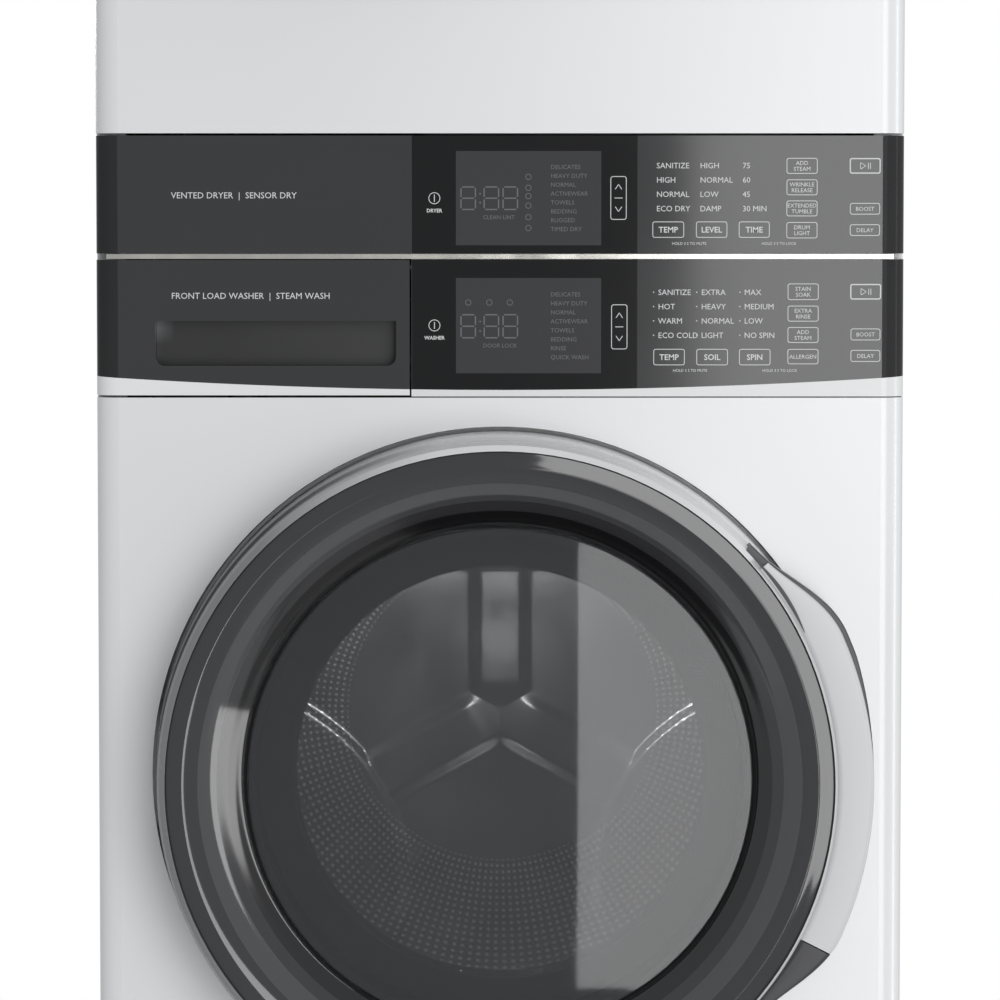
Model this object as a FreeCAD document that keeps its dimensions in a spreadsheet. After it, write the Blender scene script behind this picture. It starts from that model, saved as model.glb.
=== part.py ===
import FreeCAD, Part
import math
import os
import Sketcher
from FreeCAD import Placement, Rotation, Vector

# A 27-inch laundry tower: a front-loading washer under a tumble dryer in one cabinet.
# Millimetres.  X runs left to right, Y from the front (negative) to the back, Z up from
# the floor.  Every driving dimension lives in the Sizes sheet.

doc = FreeCAD.newDocument("laundry_tower")
sheet = doc.addObject("Spreadsheet::Sheet", "Sizes")
pieces = []

SIZES = {
    "cabinet_width": 686,
    "cabinet_top": 1905,
    "front_plane": -313,
    "back_plane": 381,
    "return_depth": 28,
    "corner_radius": 20,
    "sheet_steel": 1.5,
    "machine_split": 906,
    "washer_axis": 471,
    "dryer_axis": 1455,
    "toe_top": 84,
    "washer_front_top": 791.5,
    "dryer_front_bottom": 1015,
    "cap_height": 14,
    "recess_radius": 296,
    "recess_depth": 28,
    "washer_mouth": 184,
    "dryer_mouth": 215,
    "door_reach": 90,
    "hinge_from_axis": 270,
    "hinge_reach": 47,
    "tub_radius": 308,
    "washer_drum_radius": 280,
    "dryer_drum_radius": 318,
    "fascia_thickness": 4,
    "drawer_seam": -76.5,
    "smile_radius": 5121,
    "smile_bottom": 798,
    "exhaust_radius": 50.8,
}


class Length:
    """A number that remembers how it was worked out from the Sizes sheet."""

    def __init__(self, value, text):
        self.value = value
        self.text = text

    def joined(self, other, sign, value):
        return Length(value, f"({self.text} {sign} {words(other)})")

    def __add__(self, other):
        return self.joined(other, "+", self.value + number(other))

    def __sub__(self, other):
        return self.joined(other, "-", self.value - number(other))

    def __mul__(self, other):
        return self.joined(other, "*", self.value * number(other))

    def __truediv__(self, other):
        return self.joined(other, "/", self.value / number(other))

    def __neg__(self):
        return Length(-self.value, f"(0 - {self.text})")

    def __radd__(self, other):
        return Length(number(other) + self.value, f"({words(other)} + {self.text})")

    def __rmul__(self, other):
        return Length(number(other) * self.value, f"({words(other)} * {self.text})")

    def __rsub__(self, other):
        return Length(number(other) - self.value, f"({words(other)} - {self.text})")


def number(value):
    return value.value if isinstance(value, Length) else float(value)


def words(value):
    return value.text if isinstance(value, Length) else f"{float(value):.6g}"


for row, (alias, value) in enumerate(SIZES.items(), start=1):
    sheet.set(f"A{row}", alias)
    sheet.set(f"B{row}", str(value))
    sheet.setAlias(f"B{row}", alias)


def size(alias):
    return Length(float(SIZES[alias]), f"Sizes.{alias}")


doc.recompute()


# ---------------------------------------------------------------- building helpers

def bind(thing, prop, value):
    """Give a property its value and tie it to the sheet."""
    thing.setExpression(prop, words(value))


def place(thing, x=0, y=0, z=0, turn=None):
    """Put an object at x, y, z (bound to the sheet), turned if asked."""
    base = Vector(number(x), number(y), number(z))
    thing.Placement = Placement(base, turn if turn else Rotation())
    bind(thing, ".Placement.Base.x", x)
    bind(thing, ".Placement.Base.y", y)
    bind(thing, ".Placement.Base.z", z)
    return thing


def keep(thing, node):
    """Export this object as the named piece."""
    thing.Label = node
    pieces.append(thing)
    return thing


def box(name, x, y, z):
    """A block given by its (low, high) limits on each axis."""
    block = doc.addObject("Part::Box", name)
    bind(block, "Length", Length(number(x[1]) - number(x[0]), f"({words(x[1])} - {words(x[0])})"))
    bind(block, "Width", Length(number(y[1]) - number(y[0]), f"({words(y[1])} - {words(y[0])})"))
    bind(block, "Height", Length(number(z[1]) - number(z[0]), f"({words(z[1])} - {words(z[0])})"))
    return place(block, x[0], y[0], z[0])


def rod(name, radius, start, end):
    """A round bar between two points."""
    bar = doc.addObject("Part::Cylinder", name)
    run = Vector(*end) - Vector(*start)
    bar.Radius = radius
    bar.Height = run.Length
    bar.Placement = Placement(Vector(*start), Rotation(Vector(0, 0, 1), run))
    return bar


def along_y(name, radius, x, z, y):
    """A round bar along Y between the two limits in y."""
    bar = doc.addObject("Part::Cylinder", name)
    bind(bar, "Radius", radius)
    bind(bar, "Height", Length(number(y[1]) - number(y[0]), f"({words(y[1])} - {words(y[0])})"))
    return place(bar, x, y[0], z, Rotation(Vector(1, 0, 0), -90))


def cut(name, base, tool):
    result = doc.addObject("Part::Cut", name)
    result.Base = base
    result.Tool = tool
    return result


def fuse(name, shapes):
    result = doc.addObject("Part::MultiFuse", name)
    result.Shapes = shapes
    return result


def group(name, shapes):
    """Separate solids that share one node."""
    result = doc.addObject("Part::Compound", name)
    result.Links = shapes
    return result


def new_body(name, x=0, y=0, z=0, turn=None):
    return place(doc.addObject("PartDesign::Body", name), x, y, z, turn)


def origin_plane(body, role):
    return [item for item in body.Origin.OriginFeatures if item.Role == role][0]


def corner_items(points):
    """Split an outline into lines and corner arcs; only square corners are rounded."""
    stops = []
    count = len(points)
    for index, point in enumerate(points):
        if len(point) == 2:
            stops.append((point, point, None, 0))
            continue
        x, y, radius = point
        before = points[index - 1]
        after = points[(index + 1) % count]
        ahead = unit(x, y, after)
        behind = unit(x, y, before)
        entry = (x + behind[0] * radius, y + behind[1] * radius)
        leave = (x + ahead[0] * radius, y + ahead[1] * radius)
        turn = ahead[0] * behind[1] - ahead[1] * behind[0]
        stops.append((entry, leave, radius, turn))
    return stops


def unit(x, y, other):
    """The square direction from one corner to the next."""
    run = number(other[0]) - number(x)
    rise = number(other[1]) - number(y)
    if abs(run) > abs(rise):
        return (math.copysign(1, run), 0)
    return (0, math.copysign(1, rise))


def pin(sketch, geometry, vertex, x, y):
    """Hold one vertex at x, y, both bound to the sheet."""
    for kind, value in (("DistanceX", x), ("DistanceY", y)):
        found = sketch.addConstraint(Sketcher.Constraint(kind, -1, 1, geometry, vertex, number(value)))
        sketch.setExpression(f"Constraints[{found}]", words(value))


def draw_outline(sketch, points):
    """A closed outline of lines with rounded corners where a point has a radius."""
    stops = corner_items(points)
    ends = []
    for index, stop in enumerate(stops):
        entry, leave, radius, turn = stop
        following = stops[(index + 1) % len(stops)][0]
        if radius is not None:
            ends.append(draw_corner(sketch, entry, leave, radius, turn))
        start = Vector(number(leave[0]), number(leave[1]), 0)
        end = Vector(number(following[0]), number(following[1]), 0)
        line = sketch.addGeometry(Part.LineSegment(start, end), False)
        ends.append((line, 1, 2, leave))
    for index, item in enumerate(ends):
        after = ends[(index + 1) % len(ends)]
        sketch.addConstraint(Sketcher.Constraint("Coincident", item[0], item[2], after[0], after[1]))
    for item in ends:
        pin(sketch, item[0], item[1], item[3][0], item[3][1])


def draw_corner(sketch, entry, leave, radius, turn):
    """One corner arc; returns its id, entry vertex, leaving vertex and entry point."""
    first = Vector(number(entry[0]), number(entry[1]), 0)
    last = Vector(number(leave[0]), number(leave[1]), 0)
    chord = last - first
    side = Vector(-chord.y, chord.x, 0) * 0.5
    centre = first + chord * 0.5 + side * (1 if turn > 0 else -1)
    angles = [math.atan2(p.y - centre.y, p.x - centre.x) for p in (first, last)]
    if turn < 0:
        angles.reverse()
    circle = Part.Circle(centre, Vector(0, 0, 1), number(radius))
    arc = sketch.addGeometry(Part.ArcOfCircle(circle, angles[0], angles[1]), False)
    sketch.addConstraint(Sketcher.Constraint("Radius", arc, number(radius)))
    if turn < 0:
        return (arc, 2, 1, entry)
    return (arc, 1, 2, entry)


def draw_circle(sketch, x, y, radius):
    centre = Vector(number(x), number(y), 0)
    ring = sketch.addGeometry(Part.Circle(centre, Vector(0, 0, 1), number(radius)), False)
    pin(sketch, ring, 3, x, y)
    found = sketch.addConstraint(Sketcher.Constraint("Radius", ring, number(radius)))
    sketch.setExpression(f"Constraints[{found}]", words(radius))


def sketch_on(body, role, outlines=(), circles=()):
    """A sketch on one of the body's own origin planes."""
    name = f"{body.Name}_sketch{len(body.Group)}"
    sketch = body.newObject("Sketcher::SketchObject", name)
    sketch.AttachmentSupport = [(origin_plane(body, role), "")]
    sketch.MapMode = "FlatFace"
    for outline in outlines:
        draw_outline(sketch, outline)
    for circle in circles:
        draw_circle(sketch, *circle)
    return sketch


def add_pad(body, sketch, length, both_ways=False):
    pad = body.newObject("PartDesign::Pad", f"{body.Name}_pad{len(body.Group)}")
    pad.Profile = sketch
    pad.SideType = "Symmetric" if both_ways else "One side"
    bind(pad, "Length", length)
    return pad


def add_pocket(body, sketch, length=None):
    """Cut the sketch both ways: right through, or over the given total length."""
    pocket = body.newObject("PartDesign::Pocket", f"{body.Name}_pocket{len(body.Group)}")
    pocket.Profile = sketch
    pocket.SideType = "Symmetric"
    if length is None:
        pocket.Type = "ThroughAll"
    else:
        bind(pocket, "Length", length)
    return pocket


def add_turned(body, points):
    """Revolve an outline of (radius, y) about the body's Y axis."""
    sketch = sketch_on(body, "XY_Plane", [points])
    turned = body.newObject("PartDesign::Revolution", f"{body.Name}_turn{len(body.Group)}")
    turned.Profile = sketch
    turned.ReferenceAxis = (sketch, ["V_Axis"])
    turned.Angle = 360
    return turned


def turned(name, x, z, points):
    body = new_body(name, x, 0, z)
    add_turned(body, points)
    return body


def plate(name, back, thickness, outlines, circles=(), turn=None, z=0):
    """A flat piece drawn in X and Z, from the back plane forwards by its thickness."""
    body = new_body(name, 0, back, z, turn)
    add_pad(body, sketch_on(body, "XZ_Plane", outlines, circles), thickness)
    return body


def upright(name, outline, low, high):
    """A piece with one plan outline, from the low level up to the high one."""
    body = new_body(name, 0, 0, low)
    add_pad(body, sketch_on(body, "XY_Plane", [outline]), high - low)
    return body


def rectangle(x0, x1, y0, y1):
    return [(x0, y0), (x1, y0), (x1, y1), (x0, y1)]


def hose(name, radius, points):
    """A hose in straight runs, with a slightly fuller ball at each bend."""
    runs = []
    for index in range(len(points) - 1):
        runs.append(rod(f"{name}_run_{index}", radius, points[index], points[index + 1]))
    for index, point in enumerate(points[1:-1]):
        bend = doc.addObject("Part::Sphere", f"{name}_bend_{index}")
        bend.Radius = radius + 1.5
        runs.append(place(bend, *point))
    return fuse(name, runs)


def coil(name, x, y, low, high, radius, wire):
    """A hanging spring: the coil is drawn as a sleeve of its own size, closed by its end hooks."""
    sleeve = rod(f"{name}_sleeve", radius + wire, (x, y, low), (x, y, high))
    core = rod(f"{name}_core", radius - wire, (x, y, low + 6), (x, y, high - 6))
    return cut(name, sleeve, core)


half_width = size("cabinet_width") / 2
front = size("front_plane")
back = size("back_plane")
steel = size("sheet_steel")
seam = front + size("return_depth")
split = size("machine_split")
top = size("cabinet_top")
cap_bottom = top - size("cap_height")
washer_axis = size("washer_axis")
dryer_axis = size("dryer_axis")
floor_of_recess = front + size("recess_depth")


# ---------------------------------------------------------------- cabinet

def front_shape(thickness, end=0.0, left=None, right=None):
    """Plan of a front skin: full width with both rounded corners, or cut short at one side."""
    radius = size("corner_radius")
    inner = radius - thickness
    edge = seam - end
    if right is not None:
        return [
            (-half_width, edge), (-half_width, front, radius), (right, front),
            (right, front + thickness), (-half_width + thickness, front + thickness, inner),
            (-half_width + thickness, edge),
        ]
    if left is not None:
        return [
            (half_width, edge), (half_width, front, radius), (left, front),
            (left, front + thickness), (half_width - thickness, front + thickness, inner),
            (half_width - thickness, edge),
        ]
    return [
        (-half_width, edge), (-half_width, front, radius), (half_width, front, radius),
        (half_width, edge), (half_width - thickness, edge),
        (half_width - thickness, front + thickness, inner),
        (-half_width + thickness, front + thickness, inner), (-half_width + thickness, edge),
    ]


def front_panel(node, axis, low, high, mouth):
    """Front skin with the round door recess pressed into it and a slot for the door hook."""
    body = new_body(node, 0, 0, axis)
    pad = add_pad(body, sketch_on(body, "XY_Plane", [front_shape(steel)]), high - axis)
    pad.SideType = "Two sides"
    bind(pad, "Length2", axis - low)
    hole = size("recess_radius") + steel
    add_pocket(body, sketch_on(body, "XZ_Plane", circles=[(0, 0, hole)]))
    rim = size("recess_radius")
    under = floor_of_recess + steel
    add_turned(body, [
        (rim + 3, front), (rim, front), (rim - steel, floor_of_recess), (mouth, floor_of_recess),
        (mouth, floor_of_recess + 21), (mouth + steel, floor_of_recess + 21), (mouth + steel, under),
        (rim, under), (rim + steel, front + steel), (rim + 3, front + steel),
    ])
    slot = sketch_on(body, "XZ_Plane", [rectangle(230, 258, -22, 22)])
    add_pocket(body, slot)
    return keep(body, node)


def side_panel(node, side, low, high):
    """Side skin with a folded flange at the front and at the back."""
    outer = half_width if side > 0 else -half_width
    skin = outer - steel if side > 0 else outer + steel
    fold = outer - 25 * side
    rear = back - steel
    outline = [
        (outer, seam), (outer, rear), (fold, rear), (fold, rear - steel), (skin, rear - steel),
        (skin, seam + steel), (fold, seam + steel), (fold, seam),
    ]
    return upright(node, outline, low, high)


def back_panel(node, low, high, circles):
    width = half_width
    return plate(node, back, steel, [rectangle(-width, width, low, high)], circles)


def cabinet():
    keep(group("all_sides", [
        side_panel("washer_side_left", -1, 30, split),
        side_panel("washer_side_right", 1, 30, split),
        side_panel("dryer_side_left", -1, split, cap_bottom),
        side_panel("dryer_side_right", 1, split, cap_bottom),
    ]), "side_panels")
    front_panel("washer_front_panel", washer_axis, size("toe_top") + 2, size("washer_front_top"),
                size("washer_mouth"))
    front_panel("dryer_front_panel", dryer_axis, size("dryer_front_bottom"), cap_bottom,
                size("dryer_mouth"))
    washer_holes = [(200, 840, 14.5), (250, 840, 14.5), (-250, 760, 16.5)]
    dryer_hole = [(-20, 975, size("exhaust_radius") + 1)]
    keep(group("all_backs", [
        back_panel("washer_back", 30, split, washer_holes),
        back_panel("dryer_back", split, cap_bottom, dryer_hole),
    ]), "back_panels")
    keep(upright("toe_panel", [
        (-half_width, seam), (-half_width, front + 6, 14), (half_width, front + 6, 14),
        (half_width, seam), (half_width - 2, seam), (half_width - 2, front + 8, 12),
        (-half_width + 2, front + 8, 12), (-half_width + 2, seam),
    ], Length(30, "30"), size("toe_top")), "toe_panel")
    base_pan()
    deck()
    top_cap()


def base_pan():
    """Tray that closes the bottom and carries the feet."""
    inner = half_width - steel
    rear = back - steel
    low = Length(30, "30")
    solid = box("base_pan_block", (-inner, inner), (seam + steel, rear - steel), (low, low + 32))
    hollow = box("base_pan_hollow", (-inner + 2, inner - 2), (seam + steel + 2, rear - steel - 2),
                 (low + 2, low + 33))
    tray = cut("base_pan_tray", solid, hollow)
    nuts = []
    for index, (x, y) in enumerate(FEET):
        nuts.append(rod(f"foot_nut_{index}", 14, (x, y, 32), (x, y, 50)))
    whole = fuse("base_pan_whole", [tray] + nuts)
    bores = []
    for index, (x, y) in enumerate(FEET):
        bores.append(rod(f"foot_bore_{index}", 6.06, (x, y, 20), (x, y, 60)))
    keep(cut("base_pan_drilled", whole, fuse("foot_bores", bores)), "base_pan")


FEET = [(-290, -235), (290, -235), (-290, 330), (290, 330)]
FOOT_NODES = ["foot_front_left", "foot_front_right", "foot_back_left", "foot_back_right"]


def feet():
    """Screw feet: a round pad, a wrench flat and the stem that runs in the base nut."""
    for node, (x, y) in zip(FOOT_NODES, FEET):
        pad = rod(f"{node}_pad", 21, (x, y, 0), (x, y, 7))
        hexagon = doc.addObject("Part::Prism", f"{node}_hex")
        hexagon.Polygon = 6
        hexagon.Circumradius = 11
        hexagon.Height = 9
        hexagon.Placement = Placement(Vector(x, y, 7), Rotation())
        stem = rod(f"{node}_stem", 6, (x, y, 16), (x, y, 58))
        keep(fuse(f"{node}_whole", [pad, hexagon, stem]), node)


def deck():
    """Shelf between the machines; the dryer stands on it and the washer springs hang from it."""
    inner = half_width - steel
    rear = back - steel
    keep(box("deck_plate", (-inner, inner), (seam + steel, rear - steel), (split - 6, split - 3)),
         "middle_deck")


def top_cap():
    radius = size("corner_radius")
    body = new_body("top_cap", 0, 0, cap_bottom)
    outline = [
        (-half_width, back), (-half_width, front, radius), (half_width, front, radius),
        (half_width, back),
    ]
    add_pad(body, sketch_on(body, "XY_Plane", [outline]), size("cap_height"))
    wall = 2
    inside = [
        (-half_width + wall, back - wall), (-half_width + wall, front + wall, radius - wall),
        (half_width - wall, front + wall, radius - wall), (half_width - wall, back - wall),
    ]
    add_pocket(body, sketch_on(body, "XY_Plane", [inside]), (size("cap_height") - wall) * 2)
    keep(body, "top_panel")


# ---------------------------------------------------------------- control panels

def dryer_controls():
    low = split + 7
    high = size("dryer_front_bottom") - 2
    fascia = size("fascia_thickness")
    keep(upright("dryer_fascia_body", front_shape(fascia), low + 0.5, high), "dryer_fascia")
    tray = housing("dryer_housing", half_width * -1 + 21, half_width - 21, low, high - 1)
    board = control_board("dryer_board", low + 20, high - 14, 920.5, 1000)
    keep(box("trim_block", (-333, 333), (front - 0.5, front + 22), (split + 3, split + 7)),
         "trim_strip")
    return tray, board


def housing(node, left, right, low, high):
    """Open-backed tray behind the glass, with a wide window for the board's displays."""
    depth = (front + size("fascia_thickness"), seam)
    solid = box(f"{node}_block", (left, right), depth, (low, high))
    hollow = box(f"{node}_hollow", (left + 3, right - 3), (depth[0] + 11, depth[1] + 1),
                 (low + 3, high - 3))
    window = box(f"{node}_window", (-40, 90), (depth[0] - 1, depth[0] + 12), (low + 6, high - 9))
    return cut(node + "_tray", solid, fuse(f"{node}_cutters", [hollow, window]))


def control_board(node, low, high, display_low, display_high):
    """Circuit board behind the glass, with the display block standing on its front."""
    face = front + size("fascia_thickness") + 11
    board = box(f"{node}_sheet", (-60, 290), (face, face + 1.6), (low, high))
    display = box(f"{node}_display", (-37, 86), (front + size("fascia_thickness"), face),
                  (display_low, display_high))
    return fuse(f"{node}_whole", [board, display])


def smile_cut(body, keep_above):
    """Trim a skin along the shallow curve between dark glass and white lip."""
    radius = size("smile_radius")
    centre = size("smile_bottom") + radius
    local = centre - body_level(body)
    if keep_above:
        frame = rectangle(Length(-6000, "-6000"), Length(6000, "6000"), local - 6000, local + 6000)
        add_pocket(body, sketch_on(body, "XZ_Plane", [frame], [(0, local, radius)]))
    else:
        add_pocket(body, sketch_on(body, "XZ_Plane", circles=[(0, local, radius)]))


def body_level(body):
    return LEVELS[body.Name]


LEVELS = {}


def skin(node, outline, low, high, keep_above):
    body = upright(f"{node}_body", outline, low, high)
    LEVELS[body.Name] = low
    smile_cut(body, keep_above)
    return body


def washer_controls():
    low = size("washer_front_top") + 1
    high = split + 2.5
    fascia = size("fascia_thickness")
    left = size("drawer_seam") + 1.5
    keep(skin("washer_glass", front_shape(fascia, left=left), low, high, True), "washer_fascia")
    lip = skin("washer_lip", front_shape(fascia, left=left), low, low + 22, False)
    tray = housing("washer_housing", left, half_width - 21, low + 1, split + 3)
    board = control_board("washer_board", low + 24, high - 18, 812, 893)
    return fuse("washer_housing_with_lip", [tray, lip]), board


def dispenser():
    """Detergent drawer: glass front with a pull cup, white lip, box, insert and its housing."""
    low = size("washer_front_top") + 2
    high = split + 2
    right = size("drawer_seam")
    fascia = size("fascia_thickness")
    body = upright("drawer_front_body", front_shape(fascia, 0.4, right=right), low, high)
    LEVELS[body.Name] = low
    smile_cut(body, True)
    opening = [
        (-292, 856.5 - low), (-88, 856.5 - low), (-88, 818.5 - low, 8), (-292, 818.5 - low, 8),
    ]
    opening = [(Length(p[0], str(p[0])),) + tuple(p[1:]) for p in opening]
    add_pocket(body, sketch_on(body, "XZ_Plane", [opening]))
    lip = skin("drawer_lip", front_shape(fascia, 0.4, right=right), low, low + 21, False)
    keep(fuse("drawer_front_whole", [body, lip]), "drawer_front")

    inside = front + fascia
    cup_block = box("cup_block", (-296, -84), (inside, seam - 1), (814.5, 860.5))
    cup_hollow = box("cup_hollow", (-292, -88), (inside - 1, seam - 3.5), (818.5, 856.5))
    plate_block = box("carrier_block", (-322, right - 1), (inside, inside + 3), (812.5, 904))
    plate_window = box("carrier_window", (-296, -84), (inside - 1, inside + 4), (814.5, 860.5))
    carrier = cut("carrier", plate_block, plate_window)
    cup = fuse("cup_whole", [cut("cup", cup_block, cup_hollow), carrier])

    box_low = 818
    box_high = 888
    shell = box("drawer_block", (-308, -96), (seam - 1, 30), (box_low, box_high))
    hollow = box("drawer_hollow", (-305, -99), (seam + 3, 27), (box_low + 3, box_high + 1))
    neck = box("drawer_neck", (-300, -92), (inside + 3, seam - 1), (864, 884))
    walls = [
        box("drawer_wall_1", (-232, -229), (seam + 3, 27), (box_low + 3, box_high - 6)),
        box("drawer_wall_2", (-168, -165), (seam + 3, 27), (box_low + 3, box_high - 6)),
        box("drawer_cross", (-305, -232), (-110, -107), (box_low + 3, box_high - 12)),
    ]
    shell = cut("drawer_shell", shell, hollow)
    keep(fuse("drawer_box_whole", [shell, neck, cup] + walls), "drawer_box")

    outer = box("dispenser_block", (-316, -88), (seam + 15, 42), (811, 899.9))
    inner = box("dispenser_hollow", (-312, -92), (seam + 14, 38), (815, 894))
    keep(cut("dispenser_tray", outer, inner), "dispenser_housing")


# ---------------------------------------------------------------- doors

def door(prefix, axis, bowl_profile):
    """Round door: white outer ring, smoked ring, window, glass bowl, inner frame and grip."""
    nose = front - size("door_reach")
    hinge_x = -size("hinge_from_axis")
    hinge_y = front - size("hinge_reach")
    clear = 42

    ring = turned(f"{prefix}_ring_body", 0, axis, [
        (292, front + 17), (292, front - 5), (291, front - 32), (289.5, front - 49),
        (287, front - 53), (287, nose + 11), (284.5, nose + 4), (280, nose), (279.6, nose),
        (279.6, nose + 7), (283, nose + 11), (283.5, front - 53), (286, front - 49),
        (288, front - 32), (288.5, front - 5), (288.5, front + 13), (284, front + 13),
        (284, front + 17),
    ])
    notch(ring, hinge_x, hinge_y, clear)
    keep(ring, f"{prefix}_outer_ring")

    rim = front - 45
    lens = turned(f"{prefix}_lens_body", 0, axis, [
        (279.6, nose + 2), (276, nose), (262, nose + 2.5), (248, nose + 10), (236, nose + 23),
        (223, rim - 7), (214, rim), (210, rim + 1), (210, rim + 4), (216, rim + 4),
        (225, rim - 3.6), (239, nose + 26.5), (251, nose + 13), (263, nose + 6), (276, nose + 4),
        (279.6, nose + 5),
    ])
    window = turned(f"{prefix}_window_body", 0, axis, [
        (0, rim - 7), (120, rim - 4.5), (210, rim + 1), (210, rim + 4), (204, rim + 4),
        (120, rim - 1.5), (0, rim - 4),
    ])
    keep(fuse(f"{prefix}_cover_whole", [lens, window]), f"{prefix}_cover")

    frame = turned(f"{prefix}_frame_body", 0, axis, [
        (284, front + 19), (178, front + 19), (178, front + 13), (206, front + 13),
        (206, rim + 4), (213, rim + 4), (213, rim + 8), (209, rim + 8), (209, front + 13),
        (284, front + 13),
    ])
    block = [(hinge_x - 7, hinge_y - 7), (hinge_x + 9, hinge_y - 7), (hinge_x + 9, front + 14),
             (hinge_x - 7, front + 14)]
    add_pad(frame, sketch_on(frame, "XY_Plane", [block]), 100, True)
    notch(frame, hinge_x, hinge_y, clear)
    add_pocket(frame, sketch_on(frame, "XY_Plane", circles=[(hinge_x, hinge_y, 4)]), 101)
    hook_base = [(238, front + 18), (246, front + 18), (246, front + 40), (241, front + 43),
                 (233, front + 37), (233, front + 34), (238, front + 36)]
    hook = new_body(f"{prefix}_hook_body", 0, 0, axis)
    add_pad(hook, sketch_on(hook, "XY_Plane", [hook_base]), 20, True)
    keep(fuse(f"{prefix}_frame_whole", [frame, hook]), f"{prefix}_inner_frame")

    keep(turned(f"{prefix}_bowl_body", 0, axis, bowl_profile), f"{prefix}_bowl")

    keep(rod_upright(f"{prefix}_pin_bar", 4, hinge_x, hinge_y, axis, 50), f"{prefix}_hinge_pin")
    grip(prefix, axis, nose)
    return hinge(prefix, axis, hinge_x, hinge_y), lock(prefix, axis)


def notch(body, hinge_x, hinge_y, clear):
    """Room behind the ring's left edge for the hinge bracket to swing."""
    outline = rectangle(hinge_x - 30, hinge_x + 8.5, hinge_y - 19, front + 30)
    add_pocket(body, sketch_on(body, "XY_Plane", [outline]), 2 * clear)


def rod_upright(name, radius, x, y, axis, half):
    bar = doc.addObject("Part::Cylinder", name)
    bar.Radius = radius
    bar.Height = 2 * half
    return place(bar, x, y, axis - half)


def hinge(prefix, axis, hinge_x, hinge_y):
    """Cabinet half of the hinge: knuckle, arm and the flange on the recess floor."""
    body = new_body(f"{prefix}_hinge_body", 0, 0, axis)
    foot = floor_of_recess
    outline = [
        (hinge_x - 2, hinge_y), (hinge_x + 2, hinge_y), (hinge_x + 2, foot - 3),
        (hinge_x + 10, foot - 3), (hinge_x + 10, foot), (hinge_x - 14, foot),
        (hinge_x - 14, foot - 3), (hinge_x - 2, foot - 3),
    ]
    add_pad(body, sketch_on(body, "XY_Plane", [outline]), 80, True)
    add_pad(body, sketch_on(body, "XY_Plane", circles=[(hinge_x, hinge_y, 7)]), 83, True)
    add_pocket(body, sketch_on(body, "XY_Plane", circles=[(hinge_x, hinge_y, 4.06)]), 90)
    return body


def grip(prefix, axis, nose):
    """White handle that stands out past the ring on the right, thinning to both ends."""
    inner = 287
    points = []
    for angle in range(-40, 41, 4):
        full = 312.0
        share = min(1.0, max(0.0, (42.0 - abs(angle)) / 18.0))
        reach = inner + 3 + (full - inner - 3) * share * share * (3 - 2 * share)
        points.append((reach * math.cos(math.radians(angle)), reach * math.sin(math.radians(angle))))
    start = Vector(points[0][0], points[0][1], 0)
    end = Vector(points[-1][0], points[-1][1], 0)
    inner_start = Vector(inner * math.cos(math.radians(-40)), inner * math.sin(math.radians(-40)), 0)
    inner_end = Vector(inner * math.cos(math.radians(40)), inner * math.sin(math.radians(40)), 0)
    body = new_body(f"{prefix}_grip_body", 0, nose + 36, axis)
    sketch = body.newObject("Sketcher::SketchObject", f"{prefix}_grip_sketch")
    sketch.AttachmentSupport = [(origin_plane(body, "XZ_Plane"), "")]
    sketch.MapMode = "FlatFace"
    outer = Part.BSplineCurve()
    outer.interpolate([Vector(x, y, 0) for x, y in points])
    sketch.addGeometry(outer, False)
    sketch.addGeometry(Part.LineSegment(end, inner_end), False)
    arc = Part.ArcOfCircle(Part.Circle(Vector(), Vector(0, 0, 1), inner),
                           math.radians(-40), math.radians(40))
    sketch.addGeometry(arc, False)
    sketch.addGeometry(Part.LineSegment(inner_start, start), False)
    add_pad(body, sketch, 33)
    keep(body, f"{prefix}_grip")


def lock(prefix, axis):
    """Lock case behind the recess floor, open to the hook."""
    face = floor_of_recess + steel
    case = box(f"{prefix}_lock_block", (226, 268), (face, face + 18), (axis - 32, axis + 32))
    room = box(f"{prefix}_lock_room", (229, 260), (face - 1, face + 15.5), (axis - 24, axis + 24))
    return cut(f"{prefix}_lock_case", case, room)


# ---------------------------------------------------------------- washer works

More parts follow.
